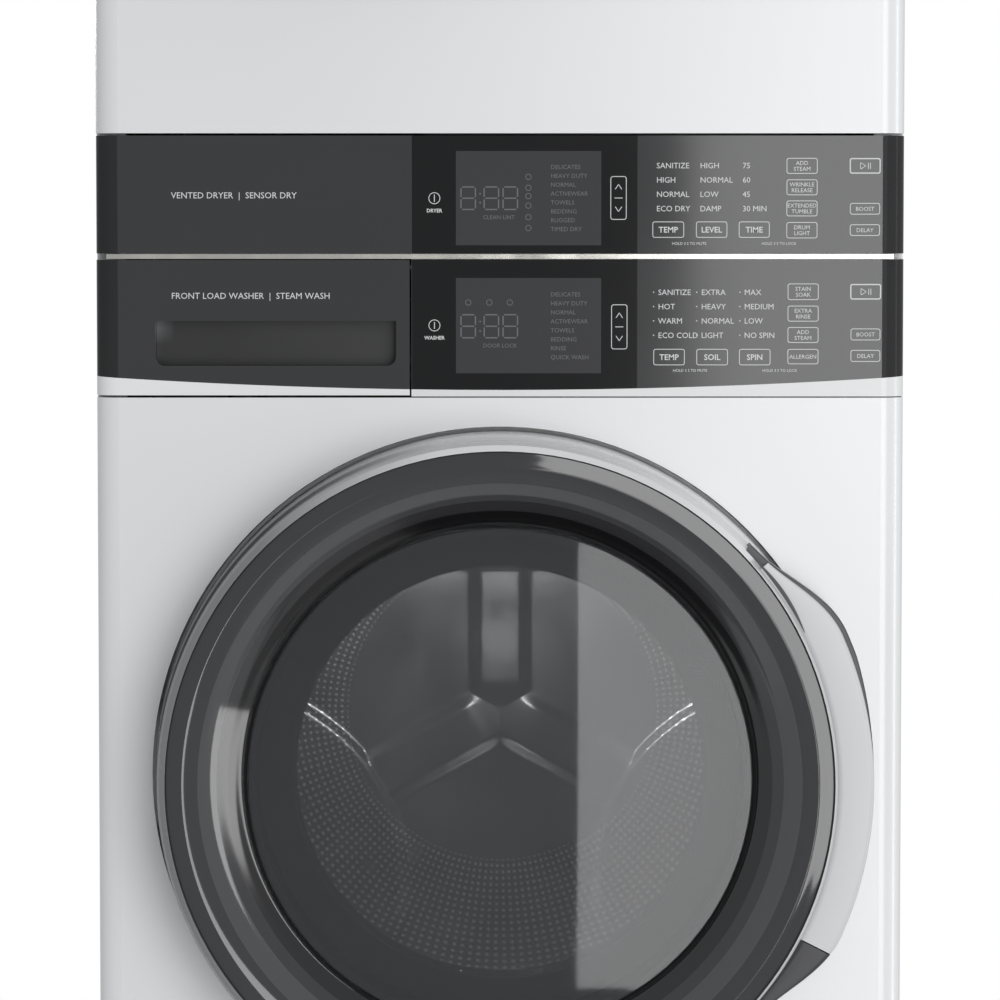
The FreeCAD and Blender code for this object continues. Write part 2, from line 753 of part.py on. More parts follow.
def washer_works():
    lip = floor_of_recess
    mouth = size("washer_mouth")
    tub = size("tub_radius")
    drum = size("washer_drum_radius")
    keep(turned("gasket_body", 0, washer_axis, [
        (mouth - 4, lip - 1.5), (mouth - 4, -276), (174.5, -278), (174.5, -275), (mouth - 4, -272),
        (mouth - 4, -262), (191, -256), (191, -250), (mouth - 2, -244), (mouth - 2, -234),
        (186, -234), (186, -242), (195, -248), (195, -258), (mouth, lip + 23),
        (mouth, lip - 1.5),
    ]), "door_gasket")
    keep(turned("tub_front_body", 0, washer_axis, [
        (181, -234), (tub, -234), (tub, -66), (tub + 8, -66), (tub + 8, -60), (tub - 4, -60),
        (tub - 4, -230), (181, -230),
    ]), "tub_front")
    rear = turned("tub_rear_body", 0, washer_axis, [
        (tub - 4, -60), (tub + 8, -60), (tub + 8, -54), (tub, -54), (tub, 250), (70, 250), (70, 298),
        (40, 298), (40, 246), (tub - 4, 246),
    ])
    lugs = []
    for side in (-1, 1):
        lugs.append(box(f"lug_{side + 1}", (side * 236 - 12, side * 236 + 12), (112, 128), (650, 690)))
    keep(fuse("tub_rear_whole", [rear] + lugs), "tub_rear")

    drum_body = turned("washer_drum_body", 0, washer_axis, [
        (193, -222), (drum, -222), (drum, 214), (17, 214), (17, 212), (drum - 2, 212),
        (drum - 2, -220), (193, -220),
    ])
    keep(drum_body, "washer_drum")
    keep(group("washer_lifters", [
        vane(f"washer_vane_{index}", washer_axis, drum - 2, 25, 10, 50, (-190, 190), 120 * index)
        for index in range(3)]), "washer_vanes")
    shaft = along_y("washer_shaft", 17, 0, washer_axis, (212, 320))
    keep(fuse("spider_with_shaft", [spider(), shaft]), "washer_spider")
    keep(group("bearing_pair", [
        turned("bearing_front", 0, washer_axis, [
            (17.06, 250), (40, 250), (40, 268), (17.06, 268)]),
        turned("bearing_rear", 0, washer_axis, [
            (17.06, 278), (40, 278), (40, 294), (17.06, 294)]),
    ]), "washer_bearings")
    keep(stator(), "washer_stator")
    keep(turned("rotor_body", 0, washer_axis, [
        (17, 302), (122, 302), (122, 256), (127, 256), (127, 308), (17, 308)]), "washer_rotor")
    weights()
    suspension()
    water_side()


def vane(name, axis, reach, base, tip, height, y, angle):
    """Tapered lifter, drawn at the top and turned about the drum axis."""
    body = new_body(f"{name}_body", 0, y[1], axis, Rotation(Vector(0, 1, 0), angle))
    foot = Length(math.sqrt(number(reach) ** 2 - base ** 2), f"(sqrt({words(reach)}^2 - {base}^2))")
    outline = [(-base, foot), (base, foot), (tip, foot - height), (-tip, foot - height)]
    outline = [(Length(x, str(x)), level) for x, level in outline]
    add_pad(body, sketch_on(body, "XZ_Plane", [outline]), y[1] - y[0])
    return body


def spider():
    """Three-armed casting that ties the drum to its shaft."""
    points = []
    for arm in range(3):
        middle = 90 + 120 * arm
        for offset, reach in ((-38, 44), (-4.5, 255), (4.5, 255), (38, 44)):
            angle = math.radians(middle + offset)
            points.append((reach * math.cos(angle), reach * math.sin(angle)))
    body = new_body("spider_body", 0, 234, washer_axis)
    sketch = sketch_on(body, "XZ_Plane", [points], [(0, 0, 17)])
    add_pad(body, sketch, 20)
    return body


def stator():
    """Wound ring of the direct drive, with its poles cut round the edge."""
    body = new_body("stator_body", 0, 292, washer_axis)
    add_pad(body, sketch_on(body, "XZ_Plane", circles=[(0, 0, 118), (0, 0, 70)]), 36)
    slot = sketch_on(body, "XZ_Plane", [rectangle(Length(96, "96"), Length(119, "119"), -3, 3)])
    pocket = add_pocket(body, slot, 80)
    pattern = body.newObject("PartDesign::PolarPattern", "stator_slots")
    pattern.Originals = [pocket]
    pattern.Axis = (slot, ["N_Axis"])
    pattern.Angle = 360
    pattern.Occurrences = 24
    body.Tip = pattern
    return body


def weights():
    """Two cast blocks on the face of the tub, above and below the mouth."""
    blocks = []
    for node, middle in (("weight_upper", 90), ("weight_lower", 270)):
        points = []
        for reach, angles in ((296, range(-52, 53, 8)), (214, range(52, -53, -8))):
            for offset in angles:
                turn = math.radians(middle + offset)
                points.append((reach * math.cos(turn), reach * math.sin(turn)))
        body = new_body(f"{node}_body", 0, -234, washer_axis)
        add_pad(body, sketch_on(body, "XZ_Plane", [points]), 34)
        blocks.append(body)
    keep(group("weight_pair", blocks), "counterweights")


def suspension():
    """Two springs that hang the tub from the deck, and two dampers under it."""
    items = []
    for node, side in (("spring_left", -1), ("spring_right", 1)):
        items.append(coil(f"{node}_coil", side * 236, 120, 690, number(split) - 6, 11, 2.2))
    for node, side in (("damper_left", -1), ("damper_right", 1)):
        low = (side * 262, 60, 66)
        high = (side * 176, 60, 212)
        middle = tuple((a + b) / 2 for a, b in zip(low, high))
        cylinder = rod(f"{node}_case", 15, low, middle)
        piston = rod(f"{node}_piston", 6, middle, high)
        foot = box(f"{node}_foot", (low[0] - 22, low[0] + 22), (40, 80), (32, 76))
        items.append(fuse(f"{node}_whole", [cylinder, piston, foot]))
    keep(group("suspension_set", items), "suspension")


def water_side():
    """Drain pump, hoses and the three connections on the back."""
    case = box("pump_case", (-230, -130), (-200, -90), (32, 112))
    motor = along_y("pump_motor", 34, -190, 78, (-90, -30))
    keep(fuse("pump_whole", [case, motor]), "drain_pump")
    sump = hose("sump_tube", 20, [
        (0, -100, 162.8), (0, -100, 128), (-50, -145, 92), (-129.8, -145, 92)])
    drain = hose("drain_tube", 13, [
        (-140, -89.8, 66), (-140, -60, 66), (-140, 180, 80), (-240, 290, 180), (-250, 300, 720),
        (-250, 318, 760), (-250, 339.8, 760)])
    stub = fuse("drain_stub_solid", [along_y("drain_flange", 19, -250, 760, (340, 379)),
                                     along_y("drain_stub_out", 15, -250, 760, (379, 399))])
    outlet = cut("drain_stub", stub, along_y("drain_stub_in", 11, -250, 760, (339, 400)))
    feed = hose("feed_tube", 9, [
        (200, 329.8, 850), (200, 290, 850), (200, 250, 876), (-200, 150, 876), (-200, 42.2, 876)])
    keep(group("hose_set", [sump, drain, outlet, feed]), "hoses")
    valves = []
    for node, x in (("valve_hot", 200), ("valve_cold", 250)):
        body = box(f"{node}_block", (x - 20, x + 20), (330, 379.5), (815, 865))
        nozzle = along_y(f"{node}_nozzle", 13.2, x, 840, (379.5, 400))
        bore = along_y(f"{node}_bore", 9, x, 840, (360, 401))
        valves.append(cut(f"{node}_cut", fuse(f"{node}_fused", [body, nozzle]), bore))
    keep(group("valve_pair", valves), "water_valves")


# ---------------------------------------------------------------- dryer works

MOTOR = (150, 1010)


def dryer_works():
    drum = size("dryer_drum_radius")
    shell = turned("dryer_drum_body", 0, dryer_axis, [
        (247, -236), (drum, -236), (drum, 298), (drum - 2, 298), (drum - 2, -234), (247, -234),
    ])
    baffles = []
    hollows = []
    for index in range(3):
        turn = 60 + 120 * index
        baffles.append(vane(f"dryer_vane_{index}", dryer_axis, drum - 0.3, 30, 12, 61.7,
                            (-200, 280), turn))
        hollows.append(vane(f"dryer_vane_room_{index}", dryer_axis, drum - 4, 27, 10, 56,
                            (-198, 281), turn))
    solid = fuse("dryer_drum_solid", [shell] + baffles)
    keep(cut("dryer_drum_whole", solid, fuse("dryer_vane_rooms", hollows)), "dryer_drum")
    bulkheads()
    rollers()
    air_path()
    drive()


def bulkheads():
    """Fixed walls at both ends of the dryer drum."""
    body = new_body("front_bulkhead_body", 0, 0, dryer_axis)
    outline = rectangle(-316, 316, Length(-425, "-425"), Length(425, "425"))
    plate_sketch = sketch_on(body, "XZ_Plane", [outline], [(0, 0, 229)])
    pad = add_pad(body, plate_sketch, 264)
    trim = [(-330, -261.5), (330, -261.5), (330, 20), (-330, 20)]
    add_pocket(body, sketch_on(body, "XY_Plane", [trim]), 900)
    add_turned(body, [
        (214, -264), (243, -264), (243, -232), (240.5, -232), (240.5, -261.5), (214, -261.5)])
    pad.Refine = True
    slot = box("filter_slot", (-103, 103), (-261.5, -239), (dryer_axis - 260, dryer_axis - 200))
    keep(cut("front_bulkhead_cut", body, slot), "dryer_front_bulkhead")
    rear = plate("rear_bulkhead_body", 306, 3, [rectangle(-330, 330, 1090, 1885)])
    heater = box("heater_case", (-190, 190), (306, 366), (1540, 1660))
    duct = box("heater_duct", (110, 190), (306, 346), (1180, 1540))
    studs = [along_y(f"roller_stud_{x > 0:d}", 5, x, z, (262, 303)) for x, z in ROLLER_AXES]
    rooms = [box("heater_room", (-188.5, 188.5), (306, 364.5), (1541.5, 1658.5)),
             box("duct_room", (111.5, 188.5), (306, 344.5), (1179, 1542))]
    for index in range(8):
        middle = -168 + 48 * index
        rooms.append(box(f"air_slot_{index}", (middle - 9, middle + 9), (302, 307), (1560, 1640)))
    solid = fuse("rear_bulkhead_solid", [rear, heater, duct] + studs)
    keep(cut("rear_bulkhead_whole", solid, fuse("heater_rooms", rooms)), "dryer_rear_bulkhead")


ROLLER_TURN = math.radians(35)
ROLLER_REACH = 318 + 25 + 0.4
ROLLER_AXES = [
    (side * ROLLER_REACH * math.sin(ROLLER_TURN), 1455 - ROLLER_REACH * math.cos(ROLLER_TURN))
    for side in (-1, 1)
]


def rollers():
    for name, (x, z) in zip(("left", "right"), ROLLER_AXES):
        wheel = along_y(f"roller_{name}_wheel", 25, x, z, (272, 296))
        bore = along_y(f"roller_{name}_bore", 5.06, x, z, (270, 298))
        keep(cut(f"roller_{name}_cut", wheel, bore), f"roller_{name}")


def air_path():
    """Lint duct, filter, blower, and the exhaust tube that leaves at the back."""
    outer = [(-110, 1212), (110, 1212), (248, 1050), (248, 918), (60, 918), (-110, 1050)]
    inner = [(-106, 1213), (106, 1213), (244, 1051.5), (244, 922), (62, 922), (-106, 1052)]
    shell = plate("lint_duct_outer", -238, 23.5, [outer])
    room = plate("lint_duct_inner", -240, 19.5, [inner])
    inlet = along_y("lint_duct_inlet", 52, MOTOR[0], MOTOR[1], (-245, -230))
    lint_duct = cut("lint_duct_cut", shell, fuse("lint_duct_room", [room, inlet]))

    frame = box("filter_frame", (-102, 102), (-258.5, -242), (1074, 1232))
    mesh_room = box("filter_room", (-94, 94), (-255.5, -240), (1082, 1212))
    grip_room = box("filter_grip", (-45, 45), (-255.5, -240), (1217, 1227))
    hollow = cut("filter_hollow", frame, fuse("filter_rooms", [mesh_room, grip_room]))
    keep(hollow, "lint_filter")

    keep(fuse("blower_with_duct", [blower_case(), lint_duct]), "blower_housing")
    keep(blower_wheel(), "blower_wheel")
    radius = size("exhaust_radius")
    tube = along_y("exhaust_out", radius + 1.2, -20, 975, (-163, back - 2))
    collar = along_y("exhaust_collar", radius, -20, 975, (back - 2, back + 22))
    bore = along_y("exhaust_in", radius - 1.5, -20, 975, (-164, back + 23))
    keep(cut("exhaust_tube", fuse("exhaust_solid", [tube, collar]), bore), "exhaust_duct")


def blower_case():
    x, z = MOTOR
    outer = fuse("blower_outer", [
        along_y("blower_round", 100, x, z, (-238, -163)),
        box("blower_outlet", (-78, x), (-238, -163), (915, 1034))])
    inner = fuse("blower_inner", [
        along_y("blower_round_in", 96, x, z, (-234, -167)),
        box("blower_outlet_in", (-74, x), (-234, -167), (919, 1030)),
        along_y("blower_inlet", 52, x, z, (-239, -230)),
        along_y("blower_shaft_hole", 9, x, z, (-170, -160)),
        along_y("blower_exit", size("exhaust_radius") - 1.5, -20, 975, (-170, -160))])
    return cut("blower_case_cut", outer, inner)


def blower_wheel():
    """Centrifugal wheel: a back disc with a ring of blades, on the motor shaft."""
    x, z = MOTOR
    body = new_body("blower_wheel_body", x, 0, z)
    add_turned(body, [
        (7, -176), (7, -206), (16, -206), (16, -180), (84, -180), (84, -176)])
    blade = sketch_on(body, "XZ_Plane", [rectangle(Length(58, "58"), Length(83, "83"), -1.2, 1.2)])
    pad = add_pad(body, blade, 226)
    trim = rectangle(Length(20, "20"), Length(90, "90"), Length(-179, "-179"), Length(5, "5"))
    pocket = add_pocket(body, sketch_on(body, "XY_Plane", [trim]), 60)
    pattern = body.newObject("PartDesign::PolarPattern", "blower_blades")
    pattern.Originals = [pad, pocket]
    pattern.Axis = (blade, ["N_Axis"])
    pattern.Angle = 360
    pattern.Occurrences = 20
    body.Tip = pattern
    return body


def drive():
    """Motor, shaft with its pulley, and the belt round the drum."""
    x, z = MOTOR
    case = along_y("motor_case", 55, x, z, (-150, -10))
    saddle = box("motor_saddle", (x - 45, x + 45), (-130, -30), (split - 3, 970))
    bore = along_y("motor_bore", 7.06, x, z, (-151, -9))
    keep(cut("motor_cut", fuse("motor_fused", [case, saddle]), bore), "dryer_motor")
    shaft = along_y("motor_shaft_bar", 7, x, z, (-215, 45))
    pulley = turned("motor_pulley_body", x, z, [
        (6, 8), (17, 8), (17, 12), (14, 12), (14, 28), (17, 28), (17, 32), (6, 32)])
    keep(fuse("motor_shaft_whole", [shaft, pulley]), "dryer_motor_shaft")
    keep(belt(), "dryer_belt")


def belt_side(big, small, side):
    """Tangent points of one straight run of a belt between drum and pulley."""
    x, z = MOTOR
    centre = Vector(0, 1455, 0)
    pulley = Vector(x, z, 0)
    line = pulley - centre
    reach = line.Length
    along = math.atan2(line.y, line.x)
    lean = math.acos((big - small) / reach)
    angle = along + side * lean
    heading = Vector(math.cos(angle), math.sin(angle), 0)
    return centre + heading * big, pulley + heading * small, angle


def belt_loop(big, small):
    """Closed wire round the drum and the motor pulley."""
    x, z = MOTOR
    left = belt_side(big, small, -1)
    right = belt_side(big, small, 1)

    def lift(point):
        return Vector(point.x, 12.5, point.y)

    def arc(centre, radius, first, middle_angle, last):
        middle = Vector(centre[0] + radius * math.cos(middle_angle),
                        centre[1] + radius * math.sin(middle_angle), 0)
        return Part.Arc(lift(first), lift(middle), lift(last)).toShape()

    along = math.atan2(z - 1455, x)
    edges = [
        arc((0, 1455), big, left[0], along + math.pi, right[0]),
        Part.makeLine(lift(right[0]), lift(right[1])),
        arc((x, z), small, right[1], along, left[1]),
        Part.makeLine(lift(left[1]), lift(left[0])),
    ]
    return Part.Wire(Part.__sortEdges__(edges))


def belt():
    """Flat ribbed belt, 15 wide, just clear of the drum and the pulley it drives."""
    face = Part.Face([belt_loop(321.4, 17.3), belt_loop(318.4, 14.3)])
    if not face.isValid():
        face.fix(0.01, 0.01, 0.01)
    band = doc.addObject("Part::Feature", "belt_band")
    band.Shape = face.extrude(Vector(0, 15, 0))
    return band


cabinet()
feet()
dryer_tray, dryer_board = dryer_controls()
washer_tray, washer_board = washer_controls()
keep(group("housing_pair", [dryer_tray, washer_tray]), "panel_housings")
keep(group("board_pair", [dryer_board, washer_board]), "control_boards")
dispenser()

hinge_front = size("front_plane")
WASHER_BOWL = [
    (205, hinge_front + 13), (177, hinge_front + 13), (174, hinge_front + 19), (168, -260),
    (155, -222), (120, -200), (0, -190), (0, -195), (118, -205), (150, -226), (162, -262),
    (170, hinge_front + 13), (173, hinge_front + 7), (205, hinge_front + 7),
]
DRYER_BOWL = [
    (205, hinge_front + 13), (177, hinge_front + 13), (174, hinge_front + 19), (164, -281),
    (120, -274), (0, -271), (0, -276), (118, -279), (159, -285.5), (169, hinge_front + 15),
    (173, hinge_front + 7), (205, hinge_front + 7),
]
washer_hinge, washer_lock = door("washer_door", washer_axis, WASHER_BOWL)
dryer_hinge, dryer_lock = door("dryer_door", dryer_axis, DRYER_BOWL)
keep(group("hinge_pair", [washer_hinge, dryer_hinge]), "door_hinges")
keep(group("lock_pair", [washer_lock, dryer_lock]), "door_locks")
washer_works()
dryer_works()

doc.recompute()

# ---------------------------------------------------------------- check and write

for item in doc.Objects:
    if "Invalid" in item.State or "Error" in item.State:
        raise RuntimeError(f"{item.Label}: {item.State}")

os.makedirs("parts", exist_ok=True)
for piece in pieces:
    shape = piece.Shape
    if shape.isNull() or not shape.isValid() or not shape.Solids:
        raise RuntimeError(f"{piece.Label} is not a sound solid")
    shape.exportStep(f"parts/{piece.Label}.step")
    box_of = shape.BoundBox
    print(f"{piece.Label:24s} {len(shape.Solids)} {shape.Volume / 1000:10.1f} cm3  "
          f"x {box_of.XMin:.1f} {box_of.XMax:.1f}  y {box_of.YMin:.1f} {box_of.YMax:.1f}  "
          f"z {box_of.ZMin:.1f} {box_of.ZMax:.1f}")
print(len(pieces), "pieces")
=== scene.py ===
# %% [markdown]
# # A laundry tower: washer below, dryer above
#
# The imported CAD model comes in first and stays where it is.  Everything below either gives
# one of its pieces a better surface, or adds a finer piece on top of it.  All lengths are
# metres; X runs to the right, Y to the back and Z up from the floor.

# %% Load the frame
import math

import bpy
import numpy as np
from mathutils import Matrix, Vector


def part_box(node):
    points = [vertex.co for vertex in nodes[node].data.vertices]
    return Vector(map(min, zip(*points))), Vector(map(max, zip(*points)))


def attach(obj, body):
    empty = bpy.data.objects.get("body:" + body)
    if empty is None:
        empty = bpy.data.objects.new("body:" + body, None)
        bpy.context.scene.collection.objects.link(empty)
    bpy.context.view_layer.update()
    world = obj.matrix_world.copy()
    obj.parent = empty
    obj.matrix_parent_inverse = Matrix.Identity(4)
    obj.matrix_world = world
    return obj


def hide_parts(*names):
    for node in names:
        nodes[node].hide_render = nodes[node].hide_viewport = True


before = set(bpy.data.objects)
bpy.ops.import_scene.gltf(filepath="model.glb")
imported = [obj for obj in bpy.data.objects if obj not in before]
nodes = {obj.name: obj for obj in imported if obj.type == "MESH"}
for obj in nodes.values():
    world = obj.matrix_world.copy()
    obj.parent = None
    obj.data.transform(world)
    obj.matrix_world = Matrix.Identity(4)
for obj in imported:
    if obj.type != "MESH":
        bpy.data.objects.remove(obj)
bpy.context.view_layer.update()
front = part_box("washer_front_panel")[0].y
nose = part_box("washer_door_outer_ring")[0].y
washer_z = float(sum(c.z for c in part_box("washer_door_bowl"))) / 2
dryer_z = float(sum(c.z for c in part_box("dryer_door_bowl"))) / 2
print("front plane", round(front, 4), "door nose", round(nose, 4), "axes", washer_z, dryer_z)

# %% [markdown]
# ## Camera, light and floor
#
# The camera stands four metres in front of the cabinet at half its height and looks a
# little down, so the dryer panel is seen square on and the washer door slightly from above.

# %% Camera
scene = bpy.context.scene
scene.view_settings.view_transform = "Standard"
camera_data = bpy.data.cameras.new("camera")
camera_data.lens = 170.0
camera_data.sensor_width = 36.0
camera_data.clip_end = 60.0
camera = bpy.data.objects.new("camera", camera_data)
scene.collection.objects.link(camera)
eye = Vector((0.0, front - 4.0, 0.952))
target = Vector((0.0, front, 0.7046))
camera.location = eye
camera.rotation_euler = (target - eye).to_track_quat("-Z", "Y").to_euler()
scene.camera = camera
print("camera at", tuple(round(v, 3) for v in eye))


# %% [markdown]
# ### Lights
#
# A large card to the right is what the dark panels reflect.  A small lamp is added inside
# the washer drum so that its back can be seen.  The camera sees pure white behind the
# cabinet, while the surfaces see a softer grey room.

# %% Lights
def area_light(name, place, aim, width, height, power):
    """A rectangular soft box at a place, facing a point."""
    data = bpy.data.lights.new(name, "AREA")
    data.shape = "RECTANGLE"
    data.size = width
    data.size_y = height
    data.energy = power
    light = bpy.data.objects.new(name, data)
    light.location = place
    aim_line = Vector(aim) - Vector(place)
    light.rotation_euler = aim_line.to_track_quat("-Z", "Y").to_euler()
    scene.collection.objects.link(light)
    return light


KEY_CARD_X = 1.99
area_light("key_card", (KEY_CARD_X, -6.0, 1.2), (KEY_CARD_X, 0.0, 1.2), 3.2, 5.0, 190.0)
area_light("top_card", (0.0, -1.2, 4.6), (0.0, -0.2, 1.2), 2.6, 1.6, 14.0)
area_light("side_card", (3.0, -0.58, 1.5), (0.0, -0.42, 1.2), 0.5, 4.8, 27.0)
area_light("drum_lamp", (0.0, -0.10, washer_z + 0.19), (0.0, 0.21, washer_z - 0.02),
           0.10, 0.03, 1.1)
area_light("back_card", (-2.2, 4.2, 2.4), (0.0, 0.2, 1.0), 2.2, 2.2, 90.0)

world = bpy.data.worlds.new("studio")
scene.world = world
world.use_nodes = True
tree = world.node_tree
tree.nodes.clear()
out = tree.nodes.new("ShaderNodeOutputWorld")
mix = tree.nodes.new("ShaderNodeMixShader")
path = tree.nodes.new("ShaderNodeLightPath")
soft = tree.nodes.new("ShaderNodeBackground")
soft.inputs["Color"].default_value = (0.96, 0.98, 1.0, 1.0)
soft.inputs["Strength"].default_value = 0.52
plain = tree.nodes.new("ShaderNodeBackground")
plain.inputs["Color"].default_value = (1.0, 1.0, 1.0, 1.0)
plain.inputs["Strength"].default_value = 1.0
tree.links.new(path.outputs["Is Camera Ray"], mix.inputs["Fac"])
tree.links.new(soft.outputs["Background"], mix.inputs[1])
tree.links.new(plain.outputs["Background"], mix.inputs[2])
tree.links.new(mix.outputs["Shader"], out.inputs["Surface"])
print("four cards, the drum lamp and an even white room")


# %% [markdown]
# ## Surfaces in code
#
# New pieces are grids of points worked out from a formula: an outline turned about the
# door axis, or a section carried along an arc.

# %% Building helpers
def solid_mesh(name, points, faces, smooth_angle=40.0):
    """An object from points and faces, smooth except at edges sharper than the angle."""
    mesh = bpy.data.meshes.new(name)
    mesh.from_pydata([tuple(map(float, p)) for p in points], [], faces)
    mesh.update()
    mesh.polygons.foreach_set("use_smooth", [True] * len(mesh.polygons))
    mesh.set_sharp_from_angle(angle=math.radians(smooth_angle))
    piece = bpy.data.objects.new(name, mesh)
    scene.collection.objects.link(piece)
    return piece


def round_corners(points, reach, steps=5):
    """Each corner of a closed outline becomes p(t) = (1-t)^2 a + 2t(1-t) c + t^2 b."""
    points = np.asarray(points, float)
    result = []
    for index, corner in enumerate(points):
        before = points[index - 1] - corner
        after = points[(index + 1) % len(points)] - corner
        a = corner + before * min(0.45, reach / max(np.linalg.norm(before), 1e-9))
        b = corner + after * min(0.45, reach / max(np.linalg.norm(after), 1e-9))
        for t in np.linspace(0.0, 1.0, steps):
            result.append((1 - t) ** 2 * a + 2 * t * (1 - t) * corner + t ** 2 * b)
    return np.array(result)


def ring_faces(rows, columns, close_rows=True):
    """Quads of a grid that wraps round its columns, and round its rows if asked."""
    faces = []
    last = rows if close_rows else rows - 1
    for row in range(last):
        low = row * columns
        high = ((row + 1) % rows) * columns
        for column in range(columns):
            after = (column + 1) % columns
            faces.append((low + column, high + column, high + after, low + after))
    return faces


def turned_grid(outline, height, turns):
    """Points of an outline of (radius, y) turned about the Y axis at a height.

    x = r sin(a), z = height + r cos(a), for a from 0 to a full turn.
    """
    angle = np.linspace(0.0, 2 * math.pi, turns, endpoint=False)
    radius = outline[:, 0][:, None]
    x = radius * np.sin(angle)
    z = height + radius * np.cos(angle)
    y = np.repeat(outline[:, 1][:, None], turns, axis=1)
    return np.stack([x, y, z], axis=-1).reshape(-1, 3)


def lathe(name, outline, height, turns=256):
    """A turned piece whose outline is closed and stays clear of the axis."""
    points = turned_grid(np.asarray(outline, float), height, turns)
    return solid_mesh(name, points, ring_faces(len(outline), turns))


def lathe_disc(name, faces_out, height, turns=256):
    """A turned piece whose outline starts and ends on the axis; both poles are one point."""
    outline = np.asarray(faces_out, float)
    middle = outline[1:-1]
    points = turned_grid(middle, height, turns).tolist()
    faces = ring_faces(len(middle), turns, close_rows=False)
    first = len(points)
    points.append((0.0, outline[0][1], height))
    points.append((0.0, outline[-1][1], height))
    last_row = (len(middle) - 1) * turns
    for column in range(turns):
        after = (column + 1) % turns
        faces.append((first, column, after))
        faces.append((first + 1, last_row + after, last_row + column))
    return solid_mesh(name, points, faces)


# %% [markdown]
# ## Materials
#
# One builder covers the painted, moulded and metal surfaces: two close colours mixed by
# noise, roughness that wanders a little, and a fine bump.  The glass pieces have their own.

# %% Material helpers
RELIEF_DEPTH = 0.0002


def node(tree, kind, **settings):
    """A new node of a kind with its settings."""
    made = tree.nodes.new(kind)
    for key, value in settings.items():
        setattr(made, key, value)
    return made


def noise(tree, source, scale, detail=3.0, stretch=None):
    """Noise over object coordinates, stretched along an axis if asked."""
    field = node(tree, "ShaderNodeTexNoise")
    field.inputs["Scale"].default_value = scale
    field.inputs["Detail"].default_value = detail
    if stretch:
        mapping = node(tree, "ShaderNodeMapping")
        mapping.inputs["Scale"].default_value = stretch
        tree.links.new(source, mapping.inputs["Vector"])
        source = mapping.outputs["Vector"]
    tree.links.new(source, field.inputs["Vector"])
    return field.outputs["Fac"]


def spread(tree, value, low, high):
    """Map a 0..1 value to low..high."""
    mapped = node(tree, "ShaderNodeMapRange")
    mapped.inputs["From Min"].default_value = 0.3
    mapped.inputs["From Max"].default_value = 0.7
    mapped.inputs["To Min"].default_value = low
    mapped.inputs["To Max"].default_value = high
    tree.links.new(value, mapped.inputs["Value"])
    return mapped.outputs["Result"]


def blend_colour(tree, factor, first, second):
    """Mix two colours, each a tuple or a socket."""
    mixed = node(tree, "ShaderNodeMix", data_type="RGBA")
    tree.links.new(factor, mixed.inputs[0])
    for socket, value in ((mixed.inputs[6], first), (mixed.inputs[7], second)):
        if isinstance(value, tuple):
            socket.default_value = value + (1.0,)
        else:
            tree.links.new(value, socket)
    return mixed.outputs[2]


def math_node(tree, operation, first, second=None):
    """One sum on numbers or sockets."""
    step = node(tree, "ShaderNodeMath", operation=operation)
    for socket, value in zip(step.inputs, (first, second)):
        if value is None:
            continue
        if isinstance(value, (int, float)):
            socket.default_value = value
        else:
            tree.links.new(value, socket)
    return step.outputs["Value"]


def surface(name, colour, tone=0.04, rough=(0.25, 0.35), grain=700.0, bump=0.02, patch=6.0,
            metallic=0.0, coat=0.0, stretch=None, coat_rough=0.06):
    """Principled surface: mottled colour, wandering roughness and a fine bump."""
    material = bpy.data.materials.new(name)
    material.use_nodes = True
    tree = material.node_tree
    shader = tree.nodes["Principled BSDF"]
    shader.inputs["Metallic"].default_value = metallic
    shader.inputs["Coat Weight"].default_value = coat
    shader.inputs["Coat Roughness"].default_value = coat_rough
    shader.inputs["Specular IOR Level"].default_value = 0.5
    place = node(tree, "ShaderNodeTexCoord").outputs["Object"]
    broad = noise(tree, place, patch, 4.0)
    fine = noise(tree, place, grain, 2.0, stretch)
    low = tuple(max(0.0, c * (1 - tone)) for c in colour)
    high = tuple(min(1.0, c * (1 + tone)) for c in colour)
    tree.links.new(blend_colour(tree, broad, low, high), shader.inputs["Base Color"])
    tree.links.new(spread(tree, broad, rough[0], rough[1]), shader.inputs["Roughness"])
    relief = node(tree, "ShaderNodeBump")
    relief.inputs["Strength"].default_value = bump
    relief.inputs["Distance"].default_value = RELIEF_DEPTH
    tree.links.new(fine, relief.inputs["Height"])
    tree.links.new(relief.outputs["Normal"], shader.inputs["Normal"])
    return material


def hypotenuse(tree, first, second):
    """Square root of first^2 + second^2."""
    return math_node(tree, "SQRT", math_node(
        tree, "ADD", math_node(tree, "MULTIPLY", first, first),
        math_node(tree, "MULTIPLY", second, second)))


def coordinates(tree):
    """The object coordinates as three sockets."""
    split = node(tree, "ShaderNodeSeparateXYZ")
    tree.links.new(node(tree, "ShaderNodeTexCoord").outputs["Object"], split.inputs["Vector"])
    return split.outputs["X"], split.outputs["Y"], split.outputs["Z"]


def between(tree, value, low, high):
    """1 where low < value < high."""
    above = math_node(tree, "GREATER_THAN", value, low)
    below = math_node(tree, "LESS_THAN", value, high)
    return math_node(tree, "MULTIPLY", above, below)


def dress(material, *names):
    """Give CAD nodes a material in place of their own."""
    for name in names:
        nodes[name].data.materials.clear()
        nodes[name].data.materials.append(material)


# %% [markdown]
# ### Plain surfaces
#
# One material for each kind of stuff, laid on the CAD nodes that are made of it.

